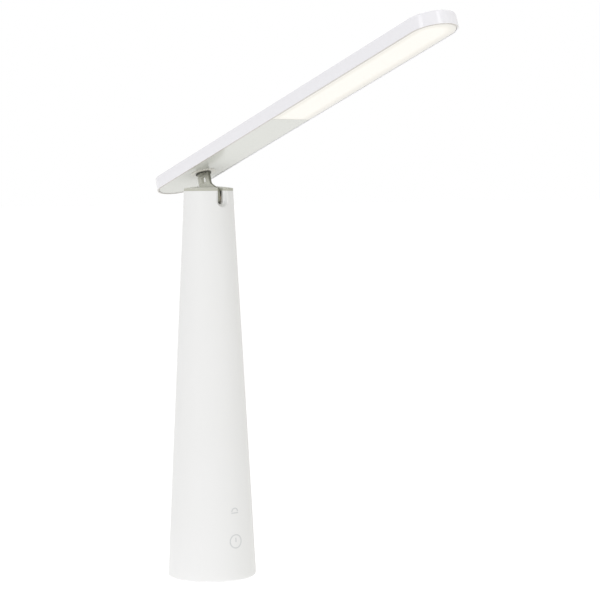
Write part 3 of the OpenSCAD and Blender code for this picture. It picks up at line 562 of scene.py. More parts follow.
# Ballast: turned mild steel, oiled, with rings from the tool
BALLAST_STEEL = Finish("turned_mild_steel", "#6f7276", "#62656a", 0.4, metallic=1.0, grain=Grain.BRUSHED,
                       grain_mm=0.5, relief_mm=0.01, cloud_mm=20.0)
# Friction washers: rolled phosphor bronze
BRONZE = Finish("rolled_bronze", "#b98d52", "#a67c45", 0.35, metallic=1.0, grain=Grain.BRUSHED, grain_mm=0.3,
                relief_mm=0.004, cloud_mm=5.0)
# Foot pad: die-cut nitrile rubber, dusty grey
FOOT_RUBBER = Finish("die_cut_grey_rubber", "#4c4d4e", "#444546", 0.85, grain_mm=0.7, relief_mm=0.04)
# Shrink-wrapped cells: thin glossy PVC film with faint wrinkles
CELL_WRAP = Finish("shrink_wrapped_cell", "#2d6fae", "#2867a4", 0.25, grain=Grain.POLISHED, grain_mm=3.0,
                   relief_mm=0.03, cloud_mm=20.0)
# Boards: green solder mask, and white mask on the aluminium LED boards
BOARD_GREEN = PrintedBoard("green_mask_board", "#14542c", "#134d29", 0.35, grain_mm=0.5, relief_mm=0.006)
BOARD_WHITE = PrintedBoard("white_mask_board", "#eeeeea", "#e6e6e1", 0.4, grain_mm=0.5, relief_mm=0.004,
                           track="#e2e2da", track_mm=3.0)
# Chips and plugs: black moulding compound
CHIP_BLACK = Finish("black_moulding_compound", "#1c1c1d", "#222223", 0.5, grain_mm=0.4, relief_mm=0.01)
# Conductive foam pads behind the touch keys
FOAM_BLACK = Finish("conductive_foam", "#1b1b1b", "#262626", 0.95, grain_mm=0.6, relief_mm=0.08)
# Silicone-insulated leads
LEAD_RED = Finish("red_silicone_lead", "#a5231c", "#971f19", 0.5, grain_mm=0.6, relief_mm=0.004)
# Screen-printed grey ink of the touch marks: thin, slightly raised, matt
MARK_INK = Finish("grey_screen_ink", "#d9dadb", "#d4d5d6", 0.6, grain_mm=0.5, relief_mm=0.003, cloud_mm=4.0)
# Heat spreader: rolled aluminium sheet
SPREADER = Finish("rolled_aluminium", "#cfd1d3", "#c4c6c9", 0.3, metallic=1.0, grain=Grain.BRUSHED,
                  grain_mm=0.35, relief_mm=0.004, cloud_mm=15.0)
# Reflector: foamed white polyester film
REFLECTOR = Finish("white_reflector_film", "#f6f6f6", "#f2f2f2", 0.7, grain_mm=0.8, relief_mm=0.004)
# Light guide: cast clear acrylic, with a faint print of scattering dots
GUIDE = Finish("cast_clear_acrylic", "#eef4f6", "#e8f0f3", 0.08, grain=Grain.POLISHED, grain_mm=2.0,
               relief_mm=0.006, ior=1.49)
# LED packages: phosphor-filled silicone
LED_PHOSPHOR = Finish("phosphor_silicone", "#e8c24a", "#dfb43c", 0.3, grain_mm=0.5, relief_mm=0.004)
# Opal acrylic, extruded: milky, with a soft sheen; lit warm white from its long sides
OPAL_ACRYLIC = OpalGlow("opal_acrylic_lit", "#e1dfd9", "#dfddd6", 0.3, grain_mm=1.2, relief_mm=0.003)


# Places in the lamp's own frame

@dataclass(frozen=True)
class Pose:
    """A place in the lamp, in millimetres: an origin, the way across, the way back and the way up."""

    origin: Array
    across: Array
    back: Array
    up: Array

    def place(self, points: Array) -> Array:
        """Moves points from this place's own frame into the lamp's frame."""
        x, y, z = points[:, :1], points[:, 1:2], points[:, 2:]
        return self.origin + x * self.across + y * self.back + z * self.up

    def lay(self, finish: PlacedFinish, point: Sequence[float] = (0.0, 0.0, 0.0)) -> PlacedFinish:
        """The same finish with its origin at a point of this place's own frame, and leaning as it does."""
        origin = tuple(float(c) * MM for c in self.place(np.array([point], float))[0])
        return replace(finish, origin=origin, tilt_degrees=-math.degrees(math.asin(self.up[1])))


def joint(name: str) -> dict[str, Any]:
    """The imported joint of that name."""
    return next(j for j in frame["joints"] if j["name"] == name)


def head_pose() -> Pose:
    """The head's place: its origin on the swivel axis, level with the rim's lower edge."""
    swivel = joint("head_swivel")
    up = np.asarray(swivel["axis"], float)
    across = np.array([1.0, 0.0, 0.0])
    return Pose(np.asarray(swivel["pos_m"], float) / MM, across, np.cross(up, across), up)


def neck_pose() -> Pose:
    """The neck's place: its origin on the fold pin, turned as the head is."""
    head = head_pose()
    return Pose(np.asarray(joint("neck_fold")["pos_m"], float) / MM, head.across, head.back, head.up)


# Sub-assemblies

def dress(piece: Piece, finish: Finish) -> None:
    """Gives a piece its finish."""
    piece.data.materials.clear()
    piece.data.materials.append(finish.material())
    log.info("%s dressed in %s, %d faces", piece.name, finish.name, len(piece.data.polygons))


@dataclass
class Assembly:
    """A sub-assembly whose pieces ride on one body."""

    body: str

    def keep(self, piece: Piece, finish: Finish, slot: str, *nodes: str) -> Piece:
        """Dresses a piece, lets it ride on the body and hides the nodes that it replaces.

        Args:
            piece: the finished object.
            finish: its finish.
            slot: the record's material slot; not used.
            nodes: the nodes that it replaces.

        Returns:
            The same piece.
        """
        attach(piece, self.body)
        dress(piece, finish)
        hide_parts(*nodes)
        return piece


@dataclass
class Column(Assembly):
    """The cone shell with its dished notch, and the domed cap on its rim."""

    height: float = 300.0
    foot_gap: float = 0.6
    base_radius: float = 34.3
    rim_radius: float = 19.0
    wall: float = 2.2
    notch_wall: float = 1.6
    bottom_round: float = 2.0
    rim_round: float = 0.25
    slot_half: float = 2.3
    slot_centre: float = 291.9
    slot_round: float = 0.3
    dish_radius: float = 3.6
    dish_centre: float = 293.2
    dish_face: float = -16.2
    dish_slope: float = 1.5
    dish_round: float = 0.5
    cap_edge: float = 1.9
    cap_rise: float = 1.6
    cap_round: float = 0.4
    patch_low: float = 236.0
    patch_mid: float = 268.0
    around: int = 160
    slot_back: float = 16.0
    socket_height: float = 23.3
    socket_half_width: float = 4.8
    socket_half_height: float = 1.9
    socket_reach: float = 8.0
    front_turn: float = 1.2
    pad_reach: float = 6.0

    def radius(self, z: Array) -> Array:
        """Outer radius of the cone at a height."""
        share = (np.asarray(z, float) - self.foot_gap) / (self.height - self.foot_gap)
        return self.base_radius + (self.rim_radius - self.base_radius) * share

    def slot_distance(self, x: Array, z: Array, centre: float) -> Array:
        """Distance from the upright centre line of a slot with a round bottom, in the front view."""
        return np.hypot(x, np.minimum(z - centre, 0.0))

    def patch_lines(self) -> tuple[Array, Array]:
        """Start and end points, in turn (radians) and height, of the lines that fan out from the slot.

        The lines start on the slot's outline, from its left rim corner round its bottom to its right
        rim corner. They end on the rear seam and on the circle at patch_low.
        """
        # Both sides start with the same close steps down from the rounded rim
        rim_steps = self.height - np.array([0.0, 0.03, 0.08, 0.15, 0.25, 0.4])
        side_in = np.concatenate([rim_steps, np.linspace(self.height - 0.8, self.slot_centre, 18)])
        side_out = np.concatenate([rim_steps, np.linspace(self.height - 1.4, self.patch_mid, 18)])
        seam = np.linspace(self.patch_mid, self.patch_low, 12)[1:]
        turns = np.linspace(-np.pi, np.pi, self.around + 1)
        bottom = 2 * (len(seam) - 1) + len(turns)
        bend = np.linspace(-np.pi / 2, np.pi / 2, bottom + 2)[1:-1]
        edge = np.full(len(side_in), self.slot_half)
        x_in = np.concatenate([-edge, self.slot_half * np.sin(bend), edge])
        z_in = np.concatenate([side_in, self.slot_centre - self.slot_half * np.cos(bend), side_in[::-1]])
        left = np.concatenate([side_out, seam[:-1]])
        half_turn = np.full(len(left), np.pi)
        turn_out = np.concatenate([-half_turn, turns, half_turn])
        z_out = np.concatenate([left, np.full(len(turns), self.patch_low), left[::-1]])
        start = np.stack([np.arcsin(x_in / self.radius(z_in)), z_in], axis=1)
        return start, np.stack([turn_out, z_out], axis=1)

    def outer_points(self, turn: Array, z: Array) -> Array:
        """Points of the outer face: the cone, pressed in at the dish and rounded at rim and slot.

        The dish is flat near the slot and then climbs outwards at a fixed slope until it meets the cone.
        """
        radius = self.radius(z) - edge_drop(self.height - z, self.rim_round)
        x, y = radius * np.sin(turn), -radius * np.cos(turn)
        reach = self.slot_distance(x, z, self.dish_centre)
        dish = self.dish_face - self.dish_slope * np.maximum(reach - self.dish_radius, 0.0)
        front = np.abs(turn) < self.front_turn
        y = np.where(front, smooth_max(y, dish, self.dish_round), y)
        from_slot = self.slot_distance(x, z, self.slot_centre) - self.slot_half
        y = y + np.where(front, edge_drop(from_slot, self.slot_round), 0.0)
        return np.stack([x, y, z], axis=-1)

    def inner_points(self, turn: Array, z: Array, outer: Array) -> Array:
        """Points of the inner face: a cone inside the wall, and a pad of even thickness by the slot."""
        cone = turned(self.radius(z) - self.wall, z, turn)
        pad = outer + np.array([0.0, self.notch_wall, 0.0])
        reach = self.slot_distance(outer[..., 0], z, self.slot_centre)
        share = np.clip((reach - self.pad_reach) / self.pad_reach, 0.0, 1.0)
        share = np.where(np.abs(turn) < self.front_turn, share, 1.0)[..., None]
        return pad * (1 - share) + cone * share

    def shell_surface(self) -> Surface:
        """The whole shell: a fan of lines around the slot, and rings below it, each with an inner face."""
        start, stop = self.patch_lines()
        # Distances along a line: close at the slot's rounded edge, even over the dish, then ever wider
        near = np.array([0.0, 0.02, 0.06, 0.12, 0.2, 0.3, 0.42])
        reach = np.concatenate([near, np.linspace(0.6, 8.0, 34), spaced(8.6, 60.0, 40, 1.3)])
        share = (reach - reach[0]) / (reach[-1] - reach[0])
        lines = start[:, None, :] + share[None, :, None] * (stop - start)[:, None, :]
        turn, z = lines[..., 0], lines[..., 1]
        outer = self.outer_points(turn, z)
        inner = self.inner_points(turn, z, outer)
        surface = Surface()
        surface.add_grid(outer)
        surface.add_grid(inner)
        for row_out, row_in in ((outer[0], inner[0]), (outer[-1], inner[-1]), (outer[:, 0], inner[:, 0])):
            surface.add_grid(np.stack([row_out, row_in]))
        self.add_lower_rings(surface)
        return surface

    def add_lower_rings(self, surface: Surface) -> None:
        """Adds the plain cone under the fan, its rounded bottom edge and its inner face."""
        lean = math.atan2(self.base_radius - self.rim_radius, self.height - self.foot_gap)
        edge = self.bottom_round
        centre = self.base_radius - edge * (math.tan(lean) + 1 / math.cos(lean))
        bottom = arc_points((centre, self.foot_gap + edge), edge, math.degrees(lean), -90.0, 12)
        heights = np.linspace(self.patch_low, bottom[0, 1], 70)[:-1]
        inside = np.linspace(self.foot_gap, self.patch_low, 12)
        radius = np.concatenate([self.radius(heights), bottom[:, 0], self.radius(inside) - self.wall])
        height = np.concatenate([heights, bottom[:, 1], inside])
        turn = np.linspace(-np.pi, np.pi, self.around + 1)
        surface.add_grid(turned(radius[:, None], height[:, None], turn))

    def socket_cutter(self) -> Piece:
        """A closed obround bar through the rear wall, where the charging plug goes in."""
        flat = self.socket_half_width - self.socket_half_height
        right = arc_points((flat, 0.0), self.socket_half_height, -90.0, 90.0, 17)
        rod = bar(np.concatenate([right, -right]), -self.socket_reach, self.socket_reach)
        middle = np.array([0.0, float(self.radius(self.socket_height)), self.socket_height])
        return rod.moved(lambda p: middle + p[:, [0, 2, 1]]).to_object("socket_cutter")

    def build_shell(self) -> Piece:
        """The white shell, with the opening for the charging socket."""
        piece = self.shell_surface().to_object("column_shell_moulded", MOULDED_DEGREES)
        cut_out(piece, self.socket_cutter())
        return self.keep(piece, WHITE_LACQUER, "shell_white", "column_shell")

    def cap_height(self, x: Array, y: Array) -> Array:
        """Height of the cap's dome above the shell: a shallow sphere through the crown and the edge."""
        ball = (self.rim_radius**2 + self.cap_rise**2) / (2 * self.cap_rise)
        fall = ball - np.sqrt(ball**2 - x**2 - y**2)
        return self.height + self.cap_edge + self.cap_rise - fall

    def cap_half(self, side: float) -> Surface:
        """One half of the cap, from the slot's edge to the outer edge.

        Lines run from the slot's edge to the outline. Heights follow the dome, and both edges are
        rounded by how near a line's point is to its ends.

        Args:
            side: 1 for the right half, -1 for the left.

        Returns:
            The half as a surface that closes against the other half.
        """
        lip, behind = self.dish_face, self.slot_back - self.slot_half
        bend = arc_points((0.0, behind), self.slot_half, 0.0, 90.0, 14)
        straight = np.linspace((self.slot_half, lip), (self.slot_half, behind), 46)
        inner = np.concatenate([straight[:-1], bend])
        corner, meet = np.array([self.dish_radius, lip]), self.dish_meets_rim()
        walk = np.concatenate([np.linspace(straight[0], corner, 5)[:-1], np.linspace(corner, meet, 5)[:-1]])
        first = math.degrees(math.atan2(meet[1], meet[0]))
        rim = arc_points((0.0, 0.0), self.rim_radius, first, 90.0, len(inner) - len(walk))
        across = np.concatenate([walk, rim]) - inner
        # Shares of the way across: close at both rounded edges and even between them
        near = np.array([0.0, 0.05, 0.15, 0.3, 0.45]) / 16
        share = np.concatenate([near, np.linspace(0.06, 0.94, 12), 1 - near[::-1]])
        flat = inner[:, None, :] + share[:, None] * across[:, None, :]
        length = np.linalg.norm(across, axis=1)[:, None]
        from_edge = np.minimum(share, 1 - share) * length
        soft = np.minimum(self.cap_round, 0.5 * length)
        top = self.cap_height(flat[..., 0], flat[..., 1]) - edge_drop(from_edge, soft)
        upper = np.concatenate([flat, top[..., None]], axis=2)
        lower = np.concatenate([flat, np.full_like(top, self.height)[..., None]], axis=2)
        surface = Surface()
        for grid in (upper, lower, *(np.stack([upper[:, end], lower[:, end]]) for end in (0, -1))):
            surface.add_grid(grid)
        return surface.moved(lambda p: p * np.array([side, 1.0, 1.0]))

    def dish_meets_rim(self) -> Array:
        """The point in plan where the dish's sloping side meets the rim's circle: a quadratic's root."""
        start, step = np.array([self.dish_radius, self.dish_face]), np.array([1 / self.dish_slope, -1.0])
        roots = np.roots([step @ step, 2 * start @ step, start @ start - self.rim_radius**2])
        return start + roots.max() * step

    def build_cap(self) -> Piece:
        """The grey domed cap."""
        surface = self.cap_half(1.0)
        surface.add_surface(self.cap_half(-1.0))
        piece = surface.to_object("top_cap_moulded", MOULDED_DEGREES)
        return self.keep(piece, CAP_GREY, "cap_grey", "top_cap")


@dataclass
class Head(Assembly):
    """The long flat head: housing, underside cover, diffuser and the collar of the swivel bush."""

    front: float = 302.96
    rear: float = 52.93
    half: float = 18.2
    thick: float = 10.0
    top_round: float = 1.35
    rim: float = 1.4
    rim_round: float = 0.2
    panel_gap: float = 0.25
    panel_inset: float = 0.3
    panel_thick: float = 1.6
    ledge: float = 1.2
    roof: float = 1.6
    split: float = 120.0
    seam: float = 0.2
    glow_shift: float = -1.2
    collar_radius: float = 9.7
    collar_thick: float = 0.5
    sleeve_radius: float = 6.5
    sleeve_top: float = 5.5
    bore_radius: float = 5.05
    roof_round: float = 0.3
    ledge_round: float = 0.15
    roof_run: float = 2.0
    top_run: float = 3.0
    panel_rounds: tuple[float, float] = (0.4, 0.25)
    collar_rounds: tuple[float, ...] = (0.25, 0.4, 0.1, 0.05)
    sleeve_gap: float = 0.05
    hole_reach: tuple[float, float] = (-4.0, 6.0)
    pose: Pose = field(default_factory=head_pose)

    def outline(self, inset: float, low: float, high: float) -> Array:
        """Closed outline with round ends, cut square at low or high where that lies inside.

        Args:
            inset: distance inside the head's outer outline.
            low: foremost place along the head, as its Y.
            high: rearmost place along the head, as its Y.

        Returns:
            Points in order, anticlockwise seen from above.
        """
        radius, front_middle, rear_middle = self.half - inset, self.half - self.front, self.rear - self.half
        ends = []
        for way, middle, cut, start in ((-1, front_middle, low, 180.0), (1, rear_middle, high, 0.0)):
            round_end = arc_points((0.0, middle), radius, start, start + 180.0, 49)
            cut_end = np.array([[way * radius, cut], [-way * radius, cut]])
            ends.append(round_end if way * (cut - middle) > radius - WELD else cut_end)
        rows = np.linspace(max(low, front_middle), min(high, rear_middle), 26)[1:-1, None]
        right = np.concatenate([np.full_like(rows, radius), rows], axis=1)
        return np.concatenate([ends[0], right, ends[1], right[::-1] * np.array([-1.0, 1.0])])

    def placed(self, surface: Surface, name: str) -> Piece:
        """Puts a surface from the head's frame into the lamp and makes the object."""
        return surface.moved(self.pose.place).to_object(name, MOULDED_DEGREES)

    def build_housing(self) -> Piece:
        """The white housing: an upturned tray with a thin rim, a ledge for the panels and a rounded top."""
        shelf = self.panel_inset + self.panel_thick
        cavity, roof = self.rim + self.ledge, self.thick - self.roof
        corners = [[cavity + self.roof_run, roof], [cavity, roof], [cavity, shelf], [self.rim, shelf],
                   [self.rim, 0.0], [0.0, 0.0], [0.0, self.thick], [self.top_run, self.thick]]
        radii = [self.roof_round, self.ledge_round, self.ledge_round, self.rim_round, self.rim_round,
                 self.top_round]
        surface = swept_plate(self.outline(0.0, -self.front, self.rear), rounded_path(corners, radii, 7))
        finish = self.pose.lay(GLOSS_WHITE)
        return self.keep(self.placed(surface, "head_housing_moulded"), finish, "shell_white", "head_housing")

    def panel(self, low: float, high: float) -> Surface:
        """A flat panel in the rim, with softly rounded edges."""
        gap = self.rim + self.panel_gap
        base, top = self.panel_inset, self.panel_inset + self.panel_thick
        corners = np.array([[1.0, base], [0.0, base], [0.0, top], [1.0, top]])
        return swept_plate(self.outline(gap, low, high), rounded_path(corners, self.panel_rounds, 6))

    def build_cover(self) -> Piece:
        """The glossy rear cover, up to the straight seam."""
        piece = self.placed(self.panel(-self.split + self.seam, self.rear), "rear_cover_moulded")
        radius = self.sleeve_radius
        low, high = self.hole_reach
        hole = turned_parts(np.array([[0.0, low], [radius, low], [radius, high], [0.0, high]]))
        cut_out(piece, hole.moved(self.pose.place).to_object("collar_cutter"))
        return self.keep(piece, GLOSS_COVER, "cover_gloss", "rear_cover")

    def build_diffuser(self) -> Piece:
        """The opal panel from the seam to the front end."""
        piece = self.placed(self.panel(-self.front, -self.split), "diffuser_opal")
        finish = self.pose.lay(OPAL_ACRYLIC, (self.glow_shift, self.half - self.front, 0.0))
        finish = replace(finish, half_width_mm=self.half - self.rim,
                         seam_mm=self.front - self.half - self.split)
        return self.keep(piece, finish, "diffuser_warm", "diffuser")

    def build_collar(self) -> Piece:
        """The round collar under the head and its sleeve, one bush with softly rounded edges."""
        base, top, sleeve = self.panel_inset, self.sleeve_top, self.sleeve_radius - self.sleeve_gap
        low = base - self.collar_thick
        corners = [[self.bore_radius, top], [self.bore_radius, low], [self.collar_radius, low],
                   [self.collar_radius, base], [sleeve, base], [sleeve, top]]
        profile = rounded_path(corners, self.collar_rounds, 6)
        surface = turned_parts(np.concatenate([profile, profile[:1]]))
        return self.keep(self.placed(surface, "swivel_collar"), BUSH_WHITE, "bush_white", "swivel_bush")


@dataclass
class Neck(Assembly):
    """The flat neck: a plate with a window, an eye on the fold pin and a spigot into the head."""

    half_thick: float = 1.1
    edge_round: float = 0.3
    arm_straight: float = 4.2
    front_edge: float = 3.35
    rear_edge: float = 18.65
    top: float = 22.75
    eye: float = 3.2
    eye_turns: tuple[float, float] = (-72.0, -58.0)
    rear_bevel: tuple[float, float, float] = (2.2, 8.6, 12.4)
    front_bevel: tuple[float, float, float, float] = (0.6, 13.2, 5.0, 8.4)
    arm_steps: tuple[tuple[float, float], ...] = ((0.75, 2.1), (0.4, 1.3))
    corner_rounds: tuple[float, ...] = (1.6, 1.6, 0.9, 0.9, 2.0, 2.5, 0.4, 0.3, 0.5, 1.2)
    window_round: float = 0.8
    window_middle: tuple[float, float] = (11.0, 18.15)
    window_half: tuple[float, float] = (2.5, 2.3)
    spigot_radius: float = 5.0
    spigot_top: float = 31.1
    clip_groove: tuple[float, float, float] = (4.2, 29.77, 30.53)
    lead_bore: float = 1.6
    lead_groove: tuple[float, float] = (16.45, 1.8)
    lead_groove_floor: float = -0.2
    pin_bore: float = 1.55
    cut_reach: float = 5.0
    spigot_sunk: float = 0.5
    pose: Pose = field(default_factory=neck_pose)

    def at_rest(self, y: float, z: float) -> list[float]:
        """A point of the side view, given as it stands upright at rest and turned into the neck's frame."""
        sine, cosine = self.pose.up[1], self.pose.up[2]
        return [y * cosine - z * sine, y * sine + z * cosine]

    def outline(self) -> Array:
        """Side view of the plate in its own Y and Z, anticlockwise, with softened corners."""
        eye, straight, (inset, rear_low, rear_high) = self.eye, self.arm_straight, self.rear_bevel
        lean, front_high, reach, front_low = self.front_bevel
        lower = arc_points((0.0, 0.0), eye, *self.eye_turns, 4)
        steps = [self.at_rest(-eye + across, straight + rise) for across, rise in self.arm_steps]
        corners = [lower[-1], [self.rear_edge - inset, rear_low], [self.rear_edge, rear_high],
                   [self.rear_edge, self.top], [self.front_edge, self.top],
                   [self.front_edge + lean, front_high], [self.front_edge - reach, front_low], *steps,
                   self.at_rest(-eye, straight), self.at_rest(-eye, -eye), lower[0]]
        flank = rounded_path(np.array(corners), self.corner_rounds, 8)
        return np.concatenate([lower, flank[1:-1]])

    def window(self) -> Array:
        """The window's outline, with rounded corners, anticlockwise."""
        (y, z), (half_y, half_z) = self.window_middle, self.window_half
        corners = np.array([[y, z - half_z], [y + half_y, z - half_z], [y + half_y, z + half_z],
                            [y - half_y, z + half_z], [y - half_y, z - half_z], [y, z - half_z]])
        return rounded_path(corners, [self.window_round] * 4, 7)[:-1]

    def plate(self) -> Surface:
        """The plate: the outline's and the window's rounded edges, with the faces between them."""
        t, r = self.half_thick, self.edge_round
        profile = rounded_path([[1.3 * r, -t], [0.0, -t], [0.0, t], [1.3 * r, t]], [r, r])
        surface = Surface()
        outer, hole = (edge_rings(loop, profile, way)[..., [2, 0, 1]]
                       for loop, way in ((self.outline(), 1.0), (self.window(), -1.0)))
        surface.add_rings(outer)
        surface.add_rings(hole)
        for row in (0, -1):
            self.add_face_with_hole(surface, outer[row], hole[row])
        return surface

    def add_face_with_hole(self, surface: Surface, outer: Array, hole: Array) -> None:
        """Adds the flat face between a loop and the hole in it, cut into triangles."""
        start = surface.add_points(np.concatenate([outer, hole]))
        loops = [[Vector(p) for p in outer], [Vector(p) for p in hole]]
        surface.faces.extend([[start + corner for corner in tri] for tri in tessellate_polygon(loops)])

    def cutter(self, outline: Array, low: float, name: str) -> Piece:
        """A bar from a depth in the plate out past its right face, with an outline in the side view."""
        rod = bar(outline, low, self.cut_reach)
        return rod.moved(lambda p: self.pose.place(p[:, [2, 0, 1]])).to_object(name)

    def lead_groove_outline(self) -> Array:
        """The groove that carries the lead up the plate's right face and over to the spigot's bore."""
        middle, width = self.lead_groove
        left, right, shelf = middle - width / 2, middle + width / 2, self.top - width
        start = (self.front_edge + self.rear_edge) / 2 - self.lead_bore
        return np.array([[left, 0.0], [right, 0.0], [right, self.top], [start, self.top], [start, shelf],
                         [left, shelf]])

    def build_plate(self) -> Piece:
        """The neck, with the fold pin's bore, the lead's groove, and the spigot that stands in the head."""
        low, (groove, clip_low, clip_high) = self.top - self.spigot_sunk, self.clip_groove
        wide, bore, high = self.spigot_radius, self.lead_bore, self.spigot_top
        profile = np.array([[bore, low], [wide, low], [wide, clip_low], [groove, clip_low],
                            [groove, clip_high], [wide, clip_high], [wide, high], [bore, high], [bore, low]])
        middle = np.array([0.0, (self.front_edge + self.rear_edge) / 2, 0.0])
        piece = self.plate().moved(self.pose.place).to_object("neck_plate_cast", MOULDED_DEGREES)
        pin = arc_points((0.0, 0.0), self.pin_bore, 0.0, 360.0, 49)[:-1]
        cut_out(piece, self.cutter(pin, -self.cut_reach, "pin_cutter"))
        cut_out(piece, self.cutter(self.lead_groove_outline(), self.lead_groove_floor, "groove_cutter"))
        spigot = turned_parts(profile, 48).moved(lambda p: self.pose.place(p + middle))
        join_into(piece, spigot.to_object("spigot"))
        return self.keep(piece, self.pose.lay(NECK_PAINT), "neck_grey", "neck_link")


# The finish of each slot whose nodes keep their own shape
SLOT_FINISHES: dict[str, Finish] = {
    "steel_plated": HINGE_STEEL, "steel_dark": BLACK_STEEL, "socket_steel": ZINC_STEEL, "bronze": BRONZE,
    "ballast_steel": BALLAST_STEEL, "spreader_alu": SPREADER, "neck_trim": NECK_TRIM,
    "plate_white": PLATE_WHITE, "frame_grey": FRAME_GREY, "rubber_grey": FOOT_RUBBER,
    "foam_black": FOAM_BLACK, "acetal_dark": ACETAL_DARK, "cell_wrap": CELL_WRAP, "lead_red": LEAD_RED,
    "board_green": BOARD_GREEN, "board_white": BOARD_WHITE, "chip_black": CHIP_BLACK,
    "led_amber": LED_PHOSPHOR, "mark_grey": MARK_INK, "reflector_white": REFLECTOR, "guide_clear": GUIDE,
}


def dress_carried_parts() -> None:
    """Gives every node that still shows the finish of its slot in the record."""
    slots = {part["node"]: part["material_slot"] for part in frame["record"]["subparts"]}
    for name, piece in frame["nodes"].items():
        if slots[name] in SLOT_FINISHES and not piece.hide_render:
            dress(piece, SLOT_FINISHES[slots[name]])


# Studio

@dataclass(frozen=True)
class SoftLight:
    """A rectangular light that faces the head's tip, which mirrors it as a bright band.

    An azimuth of 0 is straight in front. Angles are in degrees and lengths in metres, and a glare
    of 1 is the white of the sweep.
    """

    name: str
    azimuth: float
    elevation: float
    distance: float
    size: tuple[float, float]
    glare: float
    tip: tuple[float, float, float] = (0.0, -0.28, 0.405)

    def build(self) -> None:
        """Places the light around the tip and turns it to face the tip."""
        turn, rise = math.radians(self.azimuth), math.radians(self.elevation)
        way = Vector((math.sin(turn) * math.cos(rise), -math.cos(turn) * math.cos(rise), math.sin(rise)))
        data = bpy.data.lights.new(self.name, "AREA")
        data.shape, (data.size, data.size_y) = "RECTANGLE", self.size
        data.energy = self.glare * math.pi * self.size[0] * self.size[1]
        light = bpy.data.objects.new(self.name, data)
        light.location = Vector(self.tip) + way * self.distance
        light.rotation_mode = "QUATERNION"
        light.rotation_quaternion = (-way).to_track_quat("-Z", "Y")
        bpy.context.scene.collection.objects.link(light)


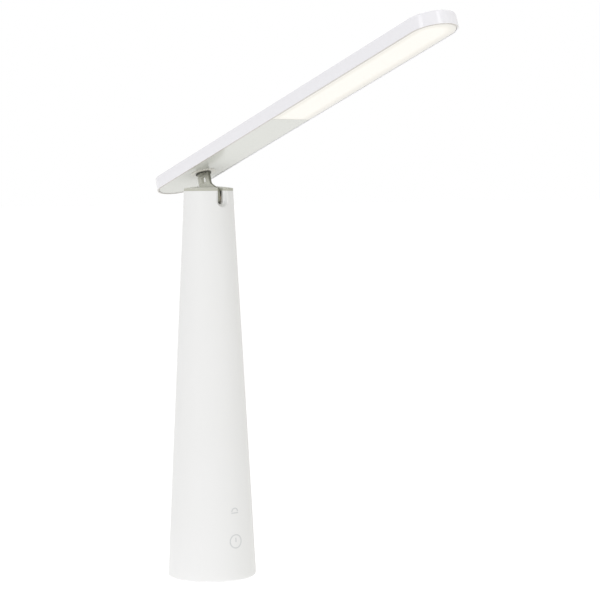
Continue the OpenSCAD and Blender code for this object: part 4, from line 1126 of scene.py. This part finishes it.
@dataclass
class Studio:
    """White sweep, soft light and the camera at the photograph's angle. Lengths are in metres."""

    azimuth: float = -33.987
    distance: float = 1.4559
    eye_height: float = 0.3005
    focal_px: float = 1879.0
    pan: float = 2.758
    pitch: float = 3.368
    roll: float = -0.417
    sensor_mm: float = 36.0
    floor_side: float = 60.0
    backdrop: str = "#ffffff"
    warm_side: str = "#f3f1d8"
    key_turn: float = -30.0
    key_rise: float = 0.15
    warm_from: float = 0.3
    warm_full: float = -0.6
    sky_low: float = 0.17
    sky_high: float = 0.83
    sky_mirrored: float = 0.9
    floor_light: float = 0.88
    pool_light: float = 0.99
    pool_radius: float = 0.3
    pool_core: float = 0.05
    paper: str = "#959595"
    fibres_per_metre: float = 250.0
    fibre_relief: float = 0.00002
    lights: tuple[SoftLight, ...] = (
        SoftLight("side_strip", -84.0, 18.5, 2.0, (0.5, 0.64), 2.9),
        SoftLight("front_strip", 0.0, 36.5, 2.0, (0.54, 0.6), 2.3),
        SoftLight("tip_panel", 26.0, 8.0, 0.3, (0.17, 0.17), 1.8),
        SoftLight("top_panel", 180.0, 76.0, 1.2, (0.8, 0.8), 2.4),
    )

    def build_camera(self) -> None:
        """Makes the camera: it looks at the column, pans right, pitches down and rolls a little."""
        azimuth = math.radians(self.azimuth)
        matrix = Matrix.Translation((math.sin(azimuth) * self.distance, -math.cos(azimuth) * self.distance,
                                     self.eye_height))
        for degrees, axis in ((self.azimuth - self.pan, "Z"), (90.0 - self.pitch, "X"), (self.roll, "Z")):
            matrix = matrix @ Matrix.Rotation(math.radians(degrees), 4, axis)
        data = bpy.data.cameras.new("photo_camera")
        data.sensor_width = self.sensor_mm
        data.lens = self.focal_px / IMAGE_SIDE_PX * self.sensor_mm
        camera = bpy.data.objects.new("photo_camera", data)
        camera.matrix_world = matrix
        bpy.context.scene.collection.objects.link(camera)
        bpy.context.scene.camera = camera

    def build_floor(self) -> None:
        """The white floor: a large flat sheet that glows a little, so that it stays as pale as the sweep, and
        glows more near the lamp as a painted pool of light.
        """
        corner = np.linspace(-self.floor_side / 2, self.floor_side / 2, 3) / MM
        x, y = np.meshgrid(corner, corner)
        surface = Surface()
        surface.add_grid(np.stack([x, y, 0 * x], axis=-1))
        floor = surface.to_object("studio_floor")
        material = bpy.data.materials.new("matt_white_paper")
        tree = fresh_tree(material)
        place = add_node(tree, "TexCoord").outputs["Object"]
        fibre = add_node(tree, "TexNoise", {"Vector": place, "Scale": self.fibres_per_metre})
        bump = add_node(tree, "Bump", {"Height": fibre, "Distance": self.fibre_relief})
        reach = add_node(tree, "VectorMath", {0: place}, operation="LENGTH").outputs["Value"]
        # Painted pool of light: the floor's glow rises towards the lamp and lights it from below
        pool = add_node(tree, "MapRange",
                        {"Value": reach, "From Min": self.pool_radius, "From Max": self.pool_core,
                         "To Min": self.floor_light, "To Max": self.pool_light},
                        interpolation_type="SMOOTHSTEP")
        shader = add_node(tree, "BsdfPrincipled",
                          {"Base Color": linear(self.paper), "Roughness": 0.9, "Normal": bump,
                           "Specular IOR Level": 0.1, "Emission Color": linear(self.backdrop),
                           "Emission Strength": pool})
        add_node(tree, "OutputMaterial", {"Surface": shader})
        floor.data.materials.append(material)
        if floor.data.polygons[0].normal.z < 0:
            floor.data.flip_normals()

    def build_world(self) -> None:
        """A white sweep all round: plain to the camera, dimmer and even in mirrors, and graded as light.

        The light's strength is a base plus a share of how much a direction faces the key side, and its
        far side is warm.
        """
        world = bpy.data.worlds.new("white_sweep")
        tree = fresh_tree(world)
        key, white = math.radians(self.azimuth + self.key_turn), linear(self.backdrop)
        way = add_node(tree, "TexCoord").outputs["Generated"]
        facing = add_node(tree, "VectorMath", {0: way, 1: (math.sin(key), -math.cos(key), self.key_rise)},
                          operation="DOT_PRODUCT").outputs["Value"]
        strength = add_node(tree, "MapRange", {"Value": facing, "From Min": -1.0, "From Max": 1.0,
                                               "To Min": self.sky_low, "To Max": self.sky_high})
        warm = add_node(tree, "MapRange", {"Value": facing, "From Min": self.warm_from,
                                           "From Max": self.warm_full})
        tint = add_node(tree, "Mix", {0: warm, 6: white, 7: linear(self.warm_side)}, data_type="RGBA")
        light = add_node(tree, "Background", {"Color": tint.outputs[2], "Strength": strength})
        plain = add_node(tree, "Background", {"Color": white, "Strength": 1.0})
        mirrored = add_node(tree, "Background", {"Color": white, "Strength": self.sky_mirrored})
        seen = add_node(tree, "LightPath").outputs
        lit = add_node(tree, "MixShader", {0: seen["Is Glossy Ray"], 1: light, 2: mirrored})
        both = add_node(tree, "MixShader", {0: seen["Is Camera Ray"], 1: lit, 2: plain})
        add_node(tree, "OutputWorld", {"Surface": both})
        bpy.context.scene.world = world
        bpy.context.scene.view_settings.view_transform = "Standard"

    def build(self) -> None:
        """Builds the whole studio."""
        self.build_camera()
        self.build_floor()
        self.build_world()
        for light in self.lights:
            light.build()
        log.info("studio ready")


def main() -> None:
    """Builds the studio and the lamp."""
    logging.basicConfig(level=logging.INFO, format="%(name)s: %(message)s")
    Studio().build()
    column = Column("column")
    column.build_shell()
    column.build_cap()
    head = Head("head")
    head.build_housing()
    head.build_cover()
    head.build_diffuser()
    head.build_collar()
    Neck("neck").build_plate()
    dress_carried_parts()


if __name__ == "__main__":
    main()
